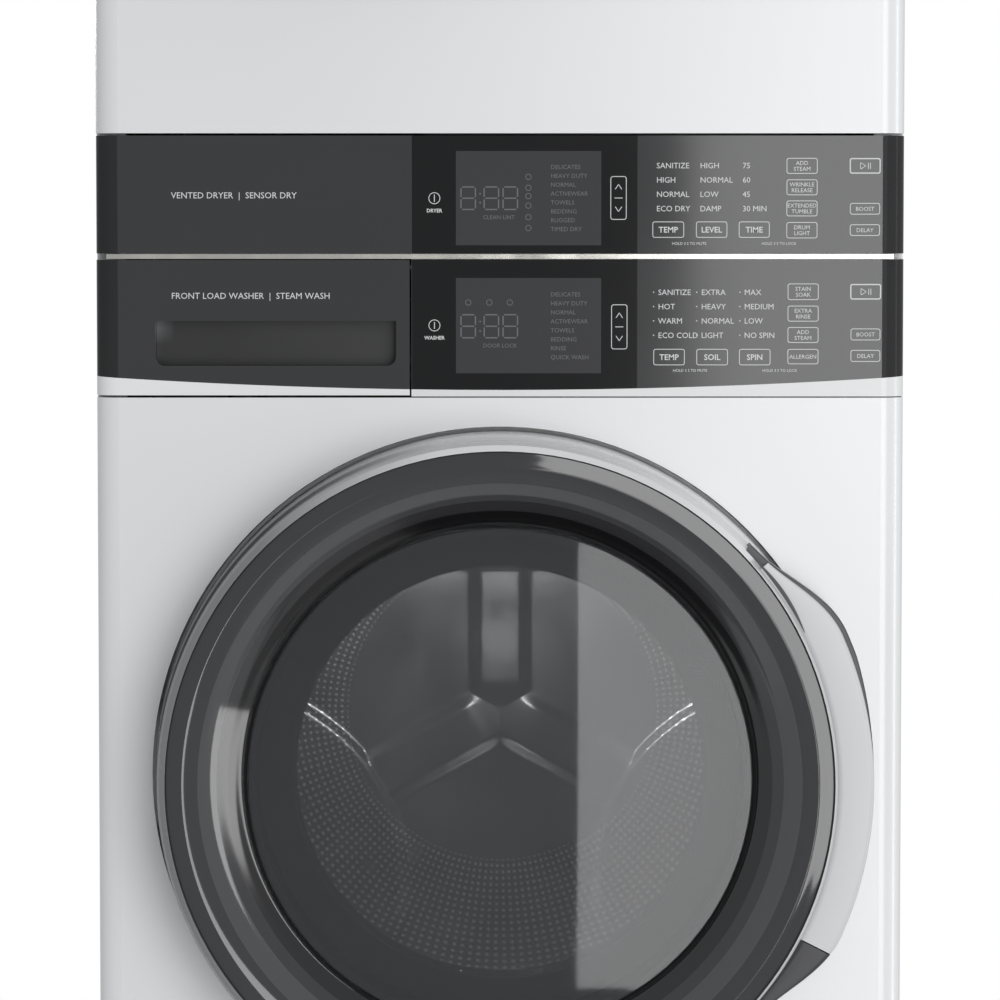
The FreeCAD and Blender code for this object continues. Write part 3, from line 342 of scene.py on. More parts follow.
# %% Plain materials
enamel = surface("white_enamel", (0.725, 0.725, 0.73), 0.012, (0.30, 0.36), 900.0, 0.05, 3.0,
                 coat=1.0, coat_rough=0.22)
white_plastic = surface("white_moulding", (0.70, 0.70, 0.70), 0.012, (0.2, 0.3), 1200.0, 0.03,
                        9.0)
grip_white = surface("grip_white", (0.56, 0.56, 0.565), 0.012, (0.3, 0.4), 1200.0, 0.03, 9.0)
grey_plastic = surface("grey_moulding", (0.16, 0.165, 0.17), 0.08, (0.4, 0.55), 900.0, 0.15,
                       12.0)
dark_plastic = surface("dark_moulding", (0.035, 0.035, 0.038), 0.1, (0.3, 0.45), 1200.0, 0.1,
                       12.0)
zinc = surface("zinc_sheet", (0.52, 0.54, 0.55), 0.12, (0.3, 0.48), 300.0, 0.08, 45.0,
               metallic=0.9)
steel = surface("brushed_stainless", (0.62, 0.62, 0.63), 0.06, (0.2, 0.32), 260.0, 0.12, 20.0,
                metallic=1.0, stretch=(1.0, 14.0, 14.0))
casting = surface("die_casting", (0.42, 0.42, 0.43), 0.1, (0.45, 0.6), 500.0, 0.25, 20.0,
                  metallic=0.9)
iron = surface("laminations", (0.09, 0.09, 0.1), 0.2, (0.4, 0.6), 500.0, 0.2, 30.0,
               metallic=0.6)
concrete = surface("cast_concrete", (0.36, 0.35, 0.33), 0.15, (0.75, 0.9), 240.0, 0.5, 25.0)
rubber = surface("grey_rubber", (0.11, 0.112, 0.115), 0.1, (0.5, 0.65), 900.0, 0.1, 18.0)
champagne = surface("satin_trim", (0.60, 0.585, 0.54), 0.03, (0.12, 0.2), 1500.0, 0.04, 40.0,
                    metallic=1.0)
board = surface("board_green", (0.03, 0.14, 0.07), 0.2, (0.35, 0.5), 400.0, 0.2, 60.0)

dress(enamel, "side_panels", "washer_front_panel", "dryer_front_panel", "top_panel",
      "toe_panel")
dress(zinc, "back_panels", "base_pan", "middle_deck", "suspension", "dryer_rear_bulkhead",
      "exhaust_duct")
dress(white_plastic, "panel_housings")
dress(grey_plastic, "dispenser_housing", "door_locks", "tub_front", "tub_rear", "washer_vanes",
      "drain_pump", "water_valves", "dryer_front_bulkhead", "roller_left", "roller_right",
      "lint_filter", "blower_housing", "blower_wheel", "foot_front_left", "foot_front_right",
      "foot_back_left", "foot_back_right")
dress(dark_plastic, "washer_door_inner_frame", "dryer_door_inner_frame")
dress(steel, "door_hinges", "washer_door_hinge_pin", "dryer_door_hinge_pin", "dryer_motor_shaft",
      "dryer_drum")
dress(casting, "washer_spider")
dress(iron, "washer_bearings", "washer_stator", "washer_rotor", "dryer_motor")
dress(concrete, "counterweights")
dress(rubber, "door_gasket", "hoses", "dryer_belt")
dress(champagne, "trim_strip")
dress(board, "control_boards")
print("plain materials on", len(nodes), "CAD nodes")


# %% [markdown]
# ### Dark panels
#
# The control strip is black glass between two grey ends, with a paler window for each
# display.  The drawer front carries a white lip along its lower edge, which curves like a
# very flat smile.  Gloss drops at the far ends, where the rounded corners read dark.

# %% Dark panels
GLASS_SPAN = (-0.0745, 0.1162)
WINDOW_SPAN = (-0.0373, 0.0856)
DRYER_WINDOW = (0.9205, 1.0000)
WASHER_WINDOW = (0.8122, 0.8928)
LIP_LEVEL = 0.798
LIP_RADIUS = 5.121
DULL_BEYOND = 0.3235


def panel_material(name, lip):
    """Dark panel: black glass in the middle, grey at both sides, and a white lip if asked.

    The lip's edge is the curve z = LIP_LEVEL + x^2 / (2 LIP_RADIUS).
    """
    material = bpy.data.materials.new(name)
    material.use_nodes = True
    tree = material.node_tree
    shader = tree.nodes["Principled BSDF"]
    x, _, z = coordinates(tree)
    place = node(tree, "ShaderNodeTexCoord").outputs["Object"]
    grey = blend_colour(tree, noise(tree, place, 9.0),
                        (0.030, 0.030, 0.031), (0.034, 0.034, 0.035))
    black = blend_colour(tree, noise(tree, place, 9.0),
                         (0.0045, 0.0045, 0.005), (0.006, 0.006, 0.0065))
    middle = between(tree, x, *GLASS_SPAN)
    colour = blend_colour(tree, middle, grey, black)
    screens = between(tree, x, *WINDOW_SPAN)
    levels = math_node(tree, "ADD", between(tree, z, *DRYER_WINDOW),
                       between(tree, z, *WASHER_WINDOW))
    window = math_node(tree, "MULTIPLY", screens, levels)
    colour = blend_colour(tree, window, colour, (0.045, 0.045, 0.048))
    roughness = spread(tree, noise(tree, place, 4.0), 0.05, 0.09)
    if lip:
        curve = math_node(tree, "MULTIPLY", math_node(tree, "MULTIPLY", x, x),
                          1 / (2 * LIP_RADIUS))
        level = math_node(tree, "ADD", curve, LIP_LEVEL)
        below = math_node(tree, "LESS_THAN", z, level)
        colour = blend_colour(tree, below, colour, (0.78, 0.78, 0.785))
    far = math_node(tree, "GREATER_THAN", math_node(tree, "ABSOLUTE", x), DULL_BEYOND)
    dull = node(tree, "ShaderNodeMapRange")
    dull.inputs["To Min"].default_value = 0.5
    dull.inputs["To Max"].default_value = 0.04
    tree.links.new(far, dull.inputs["Value"])
    gloss = math_node(tree, "SUBTRACT", dull.outputs["Result"],
                      math_node(tree, "MULTIPLY", middle, 0.17))
    tree.links.new(gloss, shader.inputs["Specular IOR Level"])
    tree.links.new(colour, shader.inputs["Base Color"])
    tree.links.new(roughness, shader.inputs["Roughness"])
    return material


dress(panel_material("dryer_panel_glass", False), "dryer_fascia", "washer_fascia")
dress(panel_material("drawer_panel_glass", True), "drawer_front")


def cup_material():
    """White moulding whose front 40 mm, the pull cup, is painted dark as shade, with a painted
    light patch at its upper left.
    """
    material = surface("drawer_moulding", (0.70, 0.70, 0.70), 0.012, (0.25, 0.35), 900.0, 0.03, 9.0)
    tree = material.node_tree
    shader = tree.nodes["Principled BSDF"]
    pale = shader.inputs["Base Color"].links[0].from_socket
    x, y, z = coordinates(tree)
    # Painted shade: the pull cup, ahead of y = -0.284, is dark.
    ahead = math_node(tree, "LESS_THAN", y, -0.284)
    # Painted light patch at the cup's upper left.
    leftward = math_node(tree, "MULTIPLY", math_node(tree, "ADD", x, 0.262), -20.0)
    upward = math_node(tree, "MULTIPLY", math_node(tree, "SUBTRACT", z, 0.826), 30.0)
    patch = math_node(tree, "MULTIPLY", spread(tree, leftward, 0.0, 1.0),
                      spread(tree, upward, 0.0, 1.0))
    cup_shade_and_sheen = blend_colour(tree, patch, (0.010, 0.010, 0.011), (0.16, 0.16, 0.165))
    tree.links.new(blend_colour(tree, ahead, pale, cup_shade_and_sheen), shader.inputs["Base Color"])
    return material


dress(cup_material(), "drawer_box")
print("panels dressed")


# %% [markdown]
# ### Glass and door rings
#
# Surfaces of the two doors are banded by distance from the door's own axis.

# %% Smoked and clear glass
def clear_material(name, colour, alpha, rough=0.03):
    """See-through surface of one alpha, with a wandering tint."""
    material = bpy.data.materials.new(name)
    material.use_nodes = True
    tree = material.node_tree
    shader = tree.nodes["Principled BSDF"]
    shader.inputs["IOR"].default_value = 1.5
    shader.inputs["Specular IOR Level"].default_value = 0.8
    place = node(tree, "ShaderNodeTexCoord").outputs["Object"]
    tint = noise(tree, place, 5.0)
    deep = tuple(c * 0.85 for c in colour)
    tree.links.new(blend_colour(tree, tint, deep, colour), shader.inputs["Base Color"])
    tree.links.new(spread(tree, tint, rough, rough * 1.6), shader.inputs["Roughness"])
    tree.links.new(spread(tree, tint, alpha - 0.01, alpha + 0.01), shader.inputs["Alpha"])
    return material


def distance_from_axis(tree):
    """Distance in X and Z from the nearer of the two door axes."""
    x, _, z = coordinates(tree)
    upper = math_node(tree, "GREATER_THAN", z, 0.5 * (washer_z + dryer_z))
    level = math_node(tree, "ADD", washer_z,
                      math_node(tree, "MULTIPLY", upper, dryer_z - washer_z))
    rise = math_node(tree, "SUBTRACT", z, level)
    return hypotenuse(tree, x, rise)


def outer_ring_material():
    """White ring with a painted reflection, grey, on the hinge side, and a painted shadow, black,
    on its outer edge there.
    """
    material = surface("outer_ring", (0.60, 0.60, 0.605), 0.02, (0.22, 0.32), 1200.0, 0.03, 9.0)
    tree = material.node_tree
    shader = tree.nodes["Principled BSDF"]
    colour = shader.inputs["Base Color"].links[0].from_socket
    x = coordinates(tree)[0]
    hinge_side = node(tree, "ShaderNodeMapRange")
    hinge_side.inputs["From Min"].default_value = -0.05
    hinge_side.inputs["From Max"].default_value = -0.20
    tree.links.new(x, hinge_side.inputs["Value"])
    side = hinge_side.outputs["Result"]
    radius = distance_from_axis(tree)
    # Painted reflection: the hinge side of the ring is greyed.
    colour = blend_colour(tree, side, colour, (0.20, 0.20, 0.205))
    # Painted shadow: black over the outer edge on the hinge side.
    skirt_shadow = math_node(tree, "MULTIPLY", side, math_node(tree, "GREATER_THAN", radius, 0.2866))
    colour = blend_colour(tree, skirt_shadow, colour, (0.006, 0.006, 0.006))
    tree.links.new(colour, shader.inputs["Base Color"])
    return material


dress(outer_ring_material(), "washer_door_outer_ring", "dryer_door_outer_ring")


def ring_material():
    """Smoked ring: grey, with a paler painted highlight on the inner slope and painted shade,
    black, in a band next to the pane.
    """
    material = clear_material("smoked_ring", (0.029, 0.029, 0.031), 0.97, 0.05)
    tree = material.node_tree
    shader = tree.nodes["Principled BSDF"]
    colour = shader.inputs["Base Color"].links[0].from_socket
    radius = distance_from_axis(tree)
    # Painted highlight: paler grey on the inner slope, 237.5 to 252.5 mm from the axis.
    highlight_swell = between(tree, radius, 0.2375, 0.2525)
    colour = blend_colour(tree, highlight_swell, colour, (0.058, 0.058, 0.060))
    # Painted shade: black in the band next to the pane.
    band = math_node(tree, "LESS_THAN", radius, 0.2285)
    colour = blend_colour(tree, band, colour, (0.004, 0.004, 0.0045))
    tree.links.new(colour, shader.inputs["Base Color"])
    return material


smoked_ring = ring_material()
smoked_pane = clear_material("smoked_pane", (0.035, 0.036, 0.040), 0.50, 0.02)
bowl_glass = clear_material("bowl_glass", (0.45, 0.47, 0.48), 0.12, 0.02)
dress(bowl_glass, "washer_door_bowl", "dryer_door_bowl")
print("three see-through materials")


# %% [markdown]
# ## The doors
#
# Each door gets a finely turned smoked ring, a domed pane and a moulded grip.

# %% Door pieces
RIM_Y = front - 0.045
PANE_RADIUS = 0.2118


def smooth_curve(points, count):
    """Catmull-Rom curve through open points."""
    points = np.asarray(points, float)
    padded = np.vstack([2 * points[0] - points[1], points, 2 * points[-1] - points[-2]])
    result = []
    for index in range(len(points) - 1):
        p0, p1, p2, p3 = padded[index:index + 4]
        for t in np.linspace(0.0, 1.0, count, endpoint=False):
            result.append(0.5 * ((2 * p1) + (p2 - p0) * t + (2 * p0 - 5 * p1 + 4 * p2 - p3) * t ** 2
                                 + (3 * p1 - p0 - 3 * p2 + p3) * t ** 3))
    result.append(points[-1])
    return np.array(result)


def door_lens(name, height):
    """Dished smoked ring from the nose of the door in to the pane."""
    face = smooth_curve([
        (0.2795, nose + 0.0036), (0.2786, nose + 0.0030), (0.2730, nose + 0.0018),
        (0.2672, nose + 0.0006), (0.2640, nose + 0.0006), (0.2540, nose + 0.0052),
        (0.2440, nose + 0.0135), (0.2375, nose + 0.0197), (0.2303, nose + 0.0265),
        (0.2234, nose + 0.0331), (0.2165, nose + 0.0396), (0.2130, nose + 0.0440)], 8)
    back = [(0.2130, RIM_Y + 0.0030), (0.2230, RIM_Y - 0.0060), (0.2400, nose + 0.0270),
            (0.2520, nose + 0.0130), (0.2640, nose + 0.0070), (0.2760, nose + 0.0050),
            (0.2795, nose + 0.0050)]
    outline = np.vstack([face, back])
    return lathe(name, outline, height, 320)


def door_pane(name, height):
    """Domed round pane, 3 mm thick, meeting the ring in a fine groove."""
    radius = np.linspace(0.0, PANE_RADIUS, 24)
    dome = 0.007 * (1 - (radius / PANE_RADIUS) ** 2)
    face = np.stack([radius, RIM_Y - dome + 0.0008], axis=1)
    edge = np.array([(0.2122, RIM_Y + 0.0014), (0.2122, RIM_Y + 0.0030)])
    back = np.stack([radius[::-1], face[::-1, 1] + 0.003], axis=1)
    return lathe_disc(name, np.vstack([face, edge, back]), height, 256)


def grip_reach(angle):
    """Outer radius of the grip: full for 24 degrees each way, then a smooth run-out."""
    share = np.clip((42.0 - np.abs(np.degrees(angle))) / 18.0, 0.0, 1.0)
    return 0.290 + 0.022 * share * share * (3 - 2 * share)


def swept_piece(name, height, angles, inner, outer, low, high, corner=0.30):
    """A rounded box section carried round the door axis, closed at both ends.

    inner and outer are radii for each angle; low and high are its two depths in y.
    """
    box = round_corners([(0, 0), (1, 0), (1, 1), (0, 1)], corner, 7)
    rows = []
    for angle, near, far in zip(angles, inner, outer):
        radius = near + (far - near) * box[:, 0]
        y = low + (high - low) * box[:, 1]
        x, z = radius * math.cos(angle), height + radius * math.sin(angle)
        rows.append(np.stack([x, y, z], axis=1))
    points = np.vstack(rows)
    count = len(box)
    faces = [tuple(reversed(f)) for f in ring_faces(len(angles), count, close_rows=False)]
    faces.append(tuple(range(count)))
    faces.append(tuple(reversed(range(len(points) - count, len(points)))))
    return solid_mesh(name, points, faces, 50.0)


def door_grip(name, height, first, last):
    """One stretch of the grip, from the smoked ring's edge out to grip_reach(angle)."""
    angles = np.radians(np.linspace(first, last, 90))
    inner = np.full(len(angles), 0.2812)
    return swept_piece(name, height, angles, inner, grip_reach(angles),
                       nose - 0.0008, nose + 0.036, 0.16)


def grip_shade(name, height):
    """Dark piece along the grip's upper outer edge, 4 mm at its widest, standing in for shadow."""
    angles = np.radians(np.linspace(2.0, 44.0, 80))
    place = np.degrees(angles)
    grow = np.clip((place - 2) / 18, 0, 1) ** 1.5
    fade_out = np.clip((44 - place) / 16, 0, 1)
    outer = grip_reach(angles) + (0.0042 * grow * fade_out + 0.0001)
    return swept_piece(name, height, angles, outer - 0.012, outer,
                       nose + 0.0035, nose + 0.034, 0.1)


def grip_gap_shadow(name, height):
    """Dark sliver between the ring and the grip's upper tail, standing in for shadow in the gap."""
    angles = np.radians(np.linspace(27.0, 42.0, 41))
    width = np.sin(np.linspace(0.0, math.pi, 41)) ** 0.8 * 0.0030 + 0.0003
    inner = np.full(len(angles), 0.2838)
    return swept_piece(name, height, angles, inner, inner + width,
                       nose - 0.0014, nose + 0.002, 0.1)


for prefix, height in (("washer", washer_z), ("dryer", dryer_z)):
    body = f"{prefix}_door"
    # Dark moulding pieces standing in for shadow: by the grip's upper tail, along its upper outer
    # edge, and the grip's lower end.
    shadow_pieces = (grip_gap_shadow(f"{prefix}_door_gap_shadow", height), grip_shade(f"{prefix}_door_shade", height),
              door_grip(f"{prefix}_door_grip_end_shadow", height, -40.0, -27.2))
    for extra in shadow_pieces:
        extra.data.materials.append(dark_plastic)
        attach(extra, body)
    lens = door_lens(f"{prefix}_door_lens", height)
    pane = door_pane(f"{prefix}_door_pane", height)
    grip = door_grip(f"{prefix}_door_handle", height, -27.0, 40.0)
    for piece, material in ((lens, smoked_ring), (pane, smoked_pane), (grip, grip_white)):
        piece.data.materials.append(material)
        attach(piece, body)
    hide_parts(f"{prefix}_door_cover")
    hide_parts(f"{prefix}_door_grip")
print("door pieces made")


# %% [markdown]
# ## The washer drum's back
#
# A pressed disc just ahead of the CAD back, with three raised arms that widen toward the
# rim.  The holes of the drum wall are stood for by pale spots: the spots are the holes, and their
# pale colour is a painted highlight.

# %% Drum back
DISC_Y = 0.2105
DOTS_PER_TURN = 180
DOT_PITCH = 0.0062
DOT_SHARE = 0.24
DOT_FIELD = (0.146, 0.272)


def ease(value):
    """Smooth step of values clipped to 0..1."""
    t = np.clip(value, 0.0, 1.0)
    return t * t * (3 - 2 * t)


def pressed_height(x, z):
    """How far the disc stands forward: the highest of three arms, 120 degrees apart.

    Along an arm, v runs outward and u across; the arm's foot is v = 0.131 + 3.02 u^2.
    """
    best = np.zeros_like(x)
    for turn in (0.0, 2 * math.pi / 3, 4 * math.pi / 3):
        u = x * math.cos(turn) - z * math.sin(turn)
        v = x * math.sin(turn) + z * math.cos(turn)
        shoulder = ease((v - (0.131 + 3.02 * u ** 2)) / 0.006) * ease((0.262 - v) / 0.02)
        ridge = ease((0.031 - np.abs(u)) / 0.014) * ease(v / 0.03)
        best = np.maximum(best, np.maximum(0.010 * shoulder, 0.007 * ridge))
    return best


def drum_back(name, height, rings=110, turns=300):
    """The disc as rings of points about the drum's axis, closed by one point at the hub."""
    radius = np.linspace(0.002, 0.2755, rings)[:, None]
    angle = np.linspace(0.0, 2 * math.pi, turns, endpoint=False)[None, :]
    x = radius * np.sin(angle)
    z = radius * np.cos(angle)
    dome = 0.006 * np.cos(np.clip(radius / 0.10, 0, 1) * math.pi / 2) ** 2
    y = DISC_Y - pressed_height(x, z) - dome
    points = np.stack([x, y, z + height], axis=-1).reshape(-1, 3).tolist()
    faces = ring_faces(rings, turns, close_rows=False)
    points.append((0.0, DISC_Y - 0.0065, height))
    hub = len(points) - 1
    faces += [(hub, column, (column + 1) % turns) for column in range(turns)]
    return solid_mesh(name, points, [tuple(reversed(f)) for f in faces], 60.0)


def pressed_steel():
    """Steel with rings of pale spots for the holes, between the arms and all over the lower half;
    their pale colour is a painted highlight.
    """
    material = surface("pressed_steel", (0.26, 0.265, 0.27), 0.10, (0.26, 0.4), 500.0, 0.12, 18.0,
                       metallic=0.9)
    tree = material.node_tree
    shader = tree.nodes["Principled BSDF"]
    colour = shader.inputs["Base Color"].links[0].from_socket
    x, y, z = coordinates(tree)
    rise = math_node(tree, "SUBTRACT", z, washer_z)
    radius = hypotenuse(tree, x, rise)
    angle = math_node(tree, "ARCTAN2", x, rise)
    around = math_node(tree, "SUBTRACT", math_node(
        tree, "FRACT", math_node(tree, "MULTIPLY", angle, DOTS_PER_TURN / (2 * math.pi))), 0.5)
    outward = math_node(tree, "SUBTRACT", math_node(
        tree, "FRACT", math_node(tree, "MULTIPLY", radius, 1 / DOT_PITCH)), 0.5)
    reach = hypotenuse(tree, around, outward)
    dot = math_node(tree, "LESS_THAN", reach, DOT_SHARE)
    field = between(tree, radius, DOT_FIELD[0], DOT_FIELD[1])
    flat = math_node(tree, "MAXIMUM", math_node(tree, "GREATER_THAN", y, 0.2095),
                     math_node(tree, "LESS_THAN", rise, 0.0))
    hole_highlights = math_node(tree, "MULTIPLY", dot, math_node(tree, "MULTIPLY", field, flat))
    # The spots stand for the holes; their pale colour is a painted highlight.
    colour = blend_colour(tree, hole_highlights, colour, (0.92, 0.92, 0.92))
    tree.links.new(colour, shader.inputs["Base Color"])
    return material


back_disc = drum_back("washer_drum_back", washer_z)
back_disc.data.materials.append(pressed_steel())
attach(back_disc, "washer_drum")
dress(steel, "washer_drum")
print("drum back", len(back_disc.data.polygons), "faces")

# %% [markdown]
# ## Legends
#
# Thin raised print on the panels: generic words, key outlines and unlit display digits.

# %% Legend helpers
ink = surface("white_ink", (0.62, 0.62, 0.62), 0.03, (0.4, 0.5), 900.0, 0.0, 30.0)
faint_ink = surface("unlit_segments", (0.11, 0.11, 0.115), 0.05, (0.4, 0.5), 900.0, 0.0, 30.0)
face_y = front - 0.00012


class Print:
    """Collects flat shapes in X and Z, then makes one thin raised piece of them."""

    def __init__(self):
        self.points = []
        self.faces = []

    def loop_band(self, outer, inner):
        """The flat band between two closed loops with the same number of points."""
        start = len(self.points)
        count = len(outer)
        self.points += list(outer) + list(inner)
        for index in range(count):
            after = (index + 1) % count
            self.faces.append((start + index, start + after, start + count + after,
                               start + count + index))

    def block(self, x, z, width, height):
        """A filled rectangle by its centre."""
        start = len(self.points)
        a, b = width / 2, height / 2
        self.points += [(x - a, z - b), (x + a, z - b), (x + a, z + b), (x - a, z + b)]
        self.faces.append((start, start + 1, start + 2, start + 3))

    def stroke(self, first, last, width):
        """A straight line of some width."""
        a, b = np.array(first, float), np.array(last, float)
        run = (b - a) / np.linalg.norm(b - a)
        side = np.array([-run[1], run[0]]) * width / 2
        start = len(self.points)
        self.points += [a - side, b - side, b + side, a + side]
        self.faces.append((start, start + 1, start + 2, start + 3))

    def key(self, x, z, width, height, line=0.0006, corner=0.0022):
        """A rounded key outline by its centre."""
        outer = self.rounded_box(x, z, width, height, corner)
        inner = self.rounded_box(x, z, width - 2 * line, height - 2 * line, corner - line)
        self.loop_band(outer, inner)

    def circle(self, x, z, radius, line=0.0006, count=28):
        """A round outline by its centre."""
        angle = np.linspace(0, 2 * math.pi, count, endpoint=False)
        ring = np.stack([np.cos(angle), np.sin(angle)], axis=1)
        centre = np.array([x, z])
        self.loop_band(centre + ring * radius, centre + ring * (radius - line))

    @staticmethod
    def rounded_box(x, z, width, height, corner):
        """The points of a rectangle with rounded corners."""
        a, b = width / 2, height / 2
        corners = [(x - a, z - b), (x + a, z - b), (x + a, z + b), (x - a, z + b)]
        return round_corners(corners, corner, 5)

    def text(self, words, x, z, size, align="CENTER", bold=0.0):
        """Words in the built-in face; size is the height of a capital."""
        curve = bpy.data.curves.new("words", "FONT")
        curve.body = words
        curve.size = size / 0.70
        curve.align_x = align
        curve.resolution_u = 2
        curve.offset = bold
        holder = bpy.data.objects.new("words", curve)
        mesh = bpy.data.meshes.new_from_object(holder)
        start = len(self.points)
        self.points += [(x + v.co.x, z + v.co.y - size / 2) for v in mesh.vertices]
        self.faces += [tuple(start + i for i in p.vertices) for p in mesh.polygons]
        bpy.data.objects.remove(holder)
        bpy.data.meshes.remove(mesh)
        bpy.data.curves.remove(curve)

    def digit(self, x, z, width, height, line=0.0011):
        """Seven unlit segments."""
        a, b = width / 2, height / 2
        gap = line * 0.9
        for level in (-b, 0.0, b):
            self.stroke((x - a + gap, z + level), (x + a - gap, z + level), line)
        for side in (-a, a):
            self.stroke((x + side, z + gap), (x + side, z + b - gap), line)
            self.stroke((x + side, z - b + gap), (x + side, z - gap), line)

    def piece(self, name, material, slot, body="cabinet"):
        """The collected shapes as one object on the panel's face."""
        points = [(p[0], face_y, p[1]) for p in self.points]
        made = solid_mesh(name, points, self.faces)
        made.data.materials.append(material)
        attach(made, body)
        print(name, len(self.faces), "faces")
        return made


# %% [markdown]
# ### Keys and words
#
# Every touch key is a printed outline with its caption.  None of them travels.

# %% Key helpers
def option_columns(sheet, rows, columns):
    """Words in columns: each column is (left edge, words from the top row down)."""
    for left, words in columns:
        for level, word in zip(rows, words):
            sheet.text(word, left, level, 0.0047, "LEFT")


def arrow_key(sheet, x, z, height):
    """Up and down arrows in one tall key."""
    sheet.key(x, z, 0.0137, height, 0.0006, 0.0025)
    for sign in (-1, 1):
        tip = (x, z + sign * (height * 0.29 + 0.0008))
        for side in (-1, 1):
            sheet.stroke((x + side * 0.0028, z + sign * height * 0.20), tip, 0.0006)
    sheet.stroke((x - 0.0034, z), (x + 0.0034, z), 0.0006)


def power_mark(sheet, x, z, word):
    """A ring with an upright bar, and the machine's word under it."""
    sheet.circle(x, z, 0.0050)
    sheet.stroke((x, z - 0.0030), (x, z + 0.0030), 0.0007)
    sheet.text(word, x, z - 0.0104, 0.0030, bold=0.00010)


def captioned_key(sheet, x, z, width, height, lines, size=0.0035, bold=0.0):
    """A key outline with its words centred inside, one line above another."""
    sheet.key(x, z, width, height)
    step = size * 1.45
    top = z + step * (len(lines) - 1) / 2
    for index, words in enumerate(lines):
        sheet.text(words, x, top - index * step, size, bold=bold)


def play_key(sheet, x, z):
    """The start key: a triangle and two bars."""
    sheet.key(x, z, 0.0262, 0.0132, 0.0010)
    sheet.stroke((x - 0.0040, z - 0.0028), (x - 0.0040, z + 0.0028), 0.0005)
    sheet.stroke((x - 0.0040, z + 0.0028), (x + 0.0006, z), 0.0005)
    sheet.stroke((x - 0.0040, z - 0.0028), (x + 0.0006, z), 0.0005)
    for offset in (0.0026, 0.0044):
        sheet.stroke((x + offset, z - 0.0026), (x + offset, z + 0.0026), 0.0006)


def caption_row(sheet, z, keys):
    """The three tall-lettered keys under the option columns: (x, width, height, word)."""
    for x, width, height, word in keys:
        captioned_key(sheet, x, z, width, height, (word,), 0.0048, 0.0001)


def caption_stack(sheet, x, width, keys):
    """Small-lettered keys one above another: (z, height, words)."""
    for z, height, words in keys:
        captioned_key(sheet, x, z, width, height, words, 0.0034)


# %% Dryer panel legends
dryer = Print()
power_mark(dryer, -0.0555, 0.9602, "DRYER")
arrow_key(dryer, 0.1002, 0.9604, 0.0368)
option_columns(dryer, (0.9878, 0.9757, 0.9636, 0.9515), (
    (0.1322, ("SANITIZE", "HIGH", "NORMAL", "ECO DRY")),
    (0.1690, ("HIGH", "NORMAL", "LOW", "DAMP")),
    (0.2050, ("75", "60", "45", "30 MIN"))))
caption_row(dryer, 0.9337, (
    (0.1423, 0.0268, 0.0137, "TEMP"), (0.1790, 0.0264, 0.0137, "LEVEL"),
    (0.2150, 0.0261, 0.0137, "TIME")))
caption_stack(dryer, 0.2553, 0.0262, (
    (0.9875, 0.0133, ("ADD", "STEAM")), (0.9694, 0.0133, ("WRINKLE", "RELEASE")),
    (0.9516, 0.0133, ("EXTENDED", "TUMBLE")), (0.9332, 0.0137, ("DRUM", "LIGHT"))))
play_key(dryer, 0.3086, 0.9875)
caption_stack(dryer, 0.3086, 0.0254, (
    (0.9513, 0.0097, ("BOOST",)), (0.9333, 0.0097, ("DELAY",))))
dryer.text("HOLD 3 S TO MUTE", 0.1600, 0.9220, 0.0023)
dryer.text("HOLD 3 S TO LOCK", 0.2360, 0.9220, 0.0023)
dryer.text("VENTED DRYER  |  SENSOR DRY", -0.2250, 0.9627, 0.0052)
dryer.piece("dryer_legends", ink, "white_plastic")

dryer_screen = Print()
for x in (-0.0269, -0.0073, 0.0087):
    dryer_screen.digit(x, 0.9602, 0.0122, 0.0190)
for z in (0.9565, 0.9640):
    dryer_screen.block(-0.0168, z, 0.0013, 0.0013)
for index, word in enumerate(("DELICATES", "HEAVY DUTY", "NORMAL", "ACTIVEWEAR", "TOWELS",
                              "BEDDING", "RUGGED", "TIMED DRY")):
    dryer_screen.text(word, 0.0428, 0.9866 - index * 0.00749, 0.0036, "LEFT")
dryer_screen.text("CLEAN LINT", -0.0010, 0.9442, 0.0034)
for z in (0.9782, 0.9690, 0.9620, 0.9540, 0.9442, 0.9350):
    dryer_screen.circle(0.0240, z, 0.0026, 0.0006)
dryer_screen.piece("dryer_display_marks", faint_ink, "white_plastic")

# %% [markdown]
# ### The washer's panel
#
# The same keys again, a little to the right, with the drawer's words on the drawer itself.

# %% Washer panel legends
washer = Print()
power_mark(washer, -0.0555, 0.8527, "WASHER")
arrow_key(washer, 0.1010, 0.8515, 0.0380)
option_columns(washer, (0.8808, 0.8687, 0.8566, 0.8444), (
    (0.1338, ("SANITIZE", "HOT", "WARM", "ECO COLD")),
    (0.1703, ("EXTRA", "HEAVY", "NORMAL", "LIGHT")),
    (0.2067, ("MAX", "MEDIUM", "LOW", "NO SPIN"))))
caption_row(washer, 0.8259, (
    (0.1432, 0.0266, 0.0138, "TEMP"), (0.1797, 0.0267, 0.0138, "SOIL"),
    (0.2158, 0.0266, 0.0138, "SPIN")))
caption_stack(washer, 0.2566, 0.0262, (
    (0.8812, 0.0139, ("STAIN", "SOAK")), (0.8627, 0.0134, ("EXTRA", "RINSE")),
    (0.8446, 0.0133, ("ADD", "STEAM")), (0.8263, 0.0129, ("ALLERGEN",))))
play_key(washer, 0.3095, 0.8812)
caption_stack(washer, 0.3095, 0.0252, (
    (0.8451, 0.0100, ("BOOST",)), (0.8269, 0.0100, ("DELAY",))))
washer.text("HOLD 3 S TO MUTE", 0.1610, 0.8146, 0.0023)
washer.text("HOLD 3 S TO LOCK", 0.2370, 0.8146, 0.0023)
for z in (0.8808, 0.8687, 0.8566, 0.8444):
    for x in (0.1300, 0.1665, 0.2030):
        washer.block(x, z, 0.0010, 0.0010)
washer.piece("washer_legends", ink, "white_plastic")

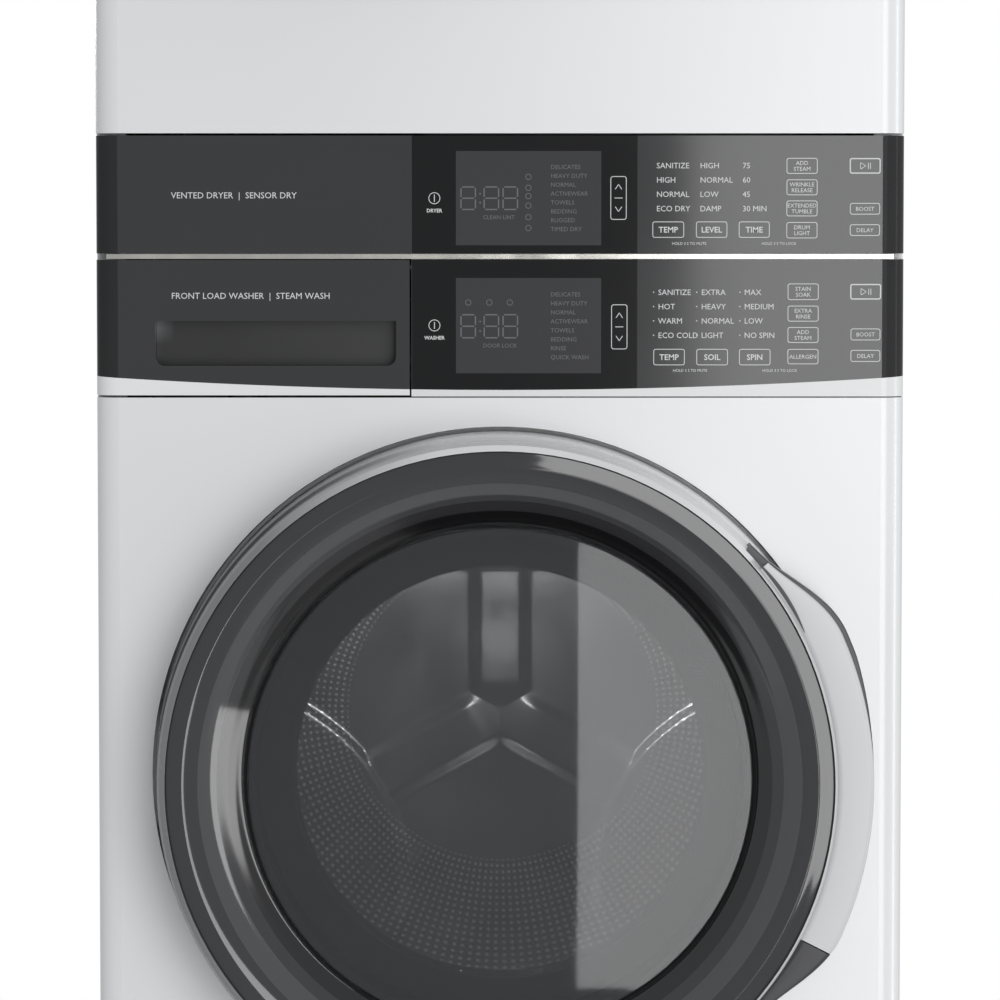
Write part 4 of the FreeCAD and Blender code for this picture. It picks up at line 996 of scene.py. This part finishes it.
drawer_words = Print()
drawer_words.text("FRONT LOAD WASHER  |  STEAM WASH", -0.2110, 0.8778, 0.0052)
drawer_words.piece("drawer_legend", ink, "white_plastic", "drawer")

washer_screen = Print()
for x in (-0.0269, -0.0073, 0.0087):
    washer_screen.digit(x, 0.8520, 0.0122, 0.0195)
for z in (0.8480, 0.8560):
    washer_screen.block(-0.0168, z, 0.0013, 0.0013)
for index, word in enumerate(("DELICATES", "HEAVY DUTY", "NORMAL", "ACTIVEWEAR", "TOWELS",
                              "BEDDING", "RINSE", "QUICK WASH")):
    washer_screen.text(word, 0.0428, 0.8790 - index * 0.0076, 0.0036, "LEFT")
washer_screen.text("DOOR LOCK", 0.0000, 0.8357, 0.0034)
for x in (-0.0268, -0.0090, 0.0083):
    washer_screen.circle(x, 0.8721, 0.0026, 0.0006)
washer_screen.piece("washer_display_marks", faint_ink, "white_plastic")

# %% [markdown]
# ## Floor and finish
#
# The floor is a pale disc that fades out before its edge, so no rim shows.

# %% Floor
FLOOR_RADIUS = 1.32
FLOOR_SIDES = 96
floor_points = [(FLOOR_RADIUS * math.sin(a), FLOOR_RADIUS * math.cos(a), -0.0005)
                for a in np.linspace(0, 2 * math.pi, FLOOR_SIDES, endpoint=False)]
floor = solid_mesh("pale_floor", floor_points, [tuple(reversed(range(FLOOR_SIDES)))])
floor_material = surface("pale_floor", (0.86, 0.86, 0.86), 0.02, (0.6, 0.75), 90.0, 0.05, 2.0)
fade_tree = floor_material.node_tree
floor_x, floor_y = coordinates(fade_tree)[:2]
floor_reach = hypotenuse(fade_tree, floor_x, floor_y)
fade = node(fade_tree, "ShaderNodeMapRange", interpolation_type="SMOOTHSTEP")
fade.inputs["From Min"].default_value = 0.65
fade.inputs["From Max"].default_value = 1.30
fade.inputs["To Min"].default_value = 1.0
fade.inputs["To Max"].default_value = 0.0
fade_tree.links.new(floor_reach, fade.inputs["Value"])
fade_tree.links.new(fade.outputs["Result"], fade_tree.nodes["Principled BSDF"].inputs["Alpha"])
floor.data.materials.append(floor_material)
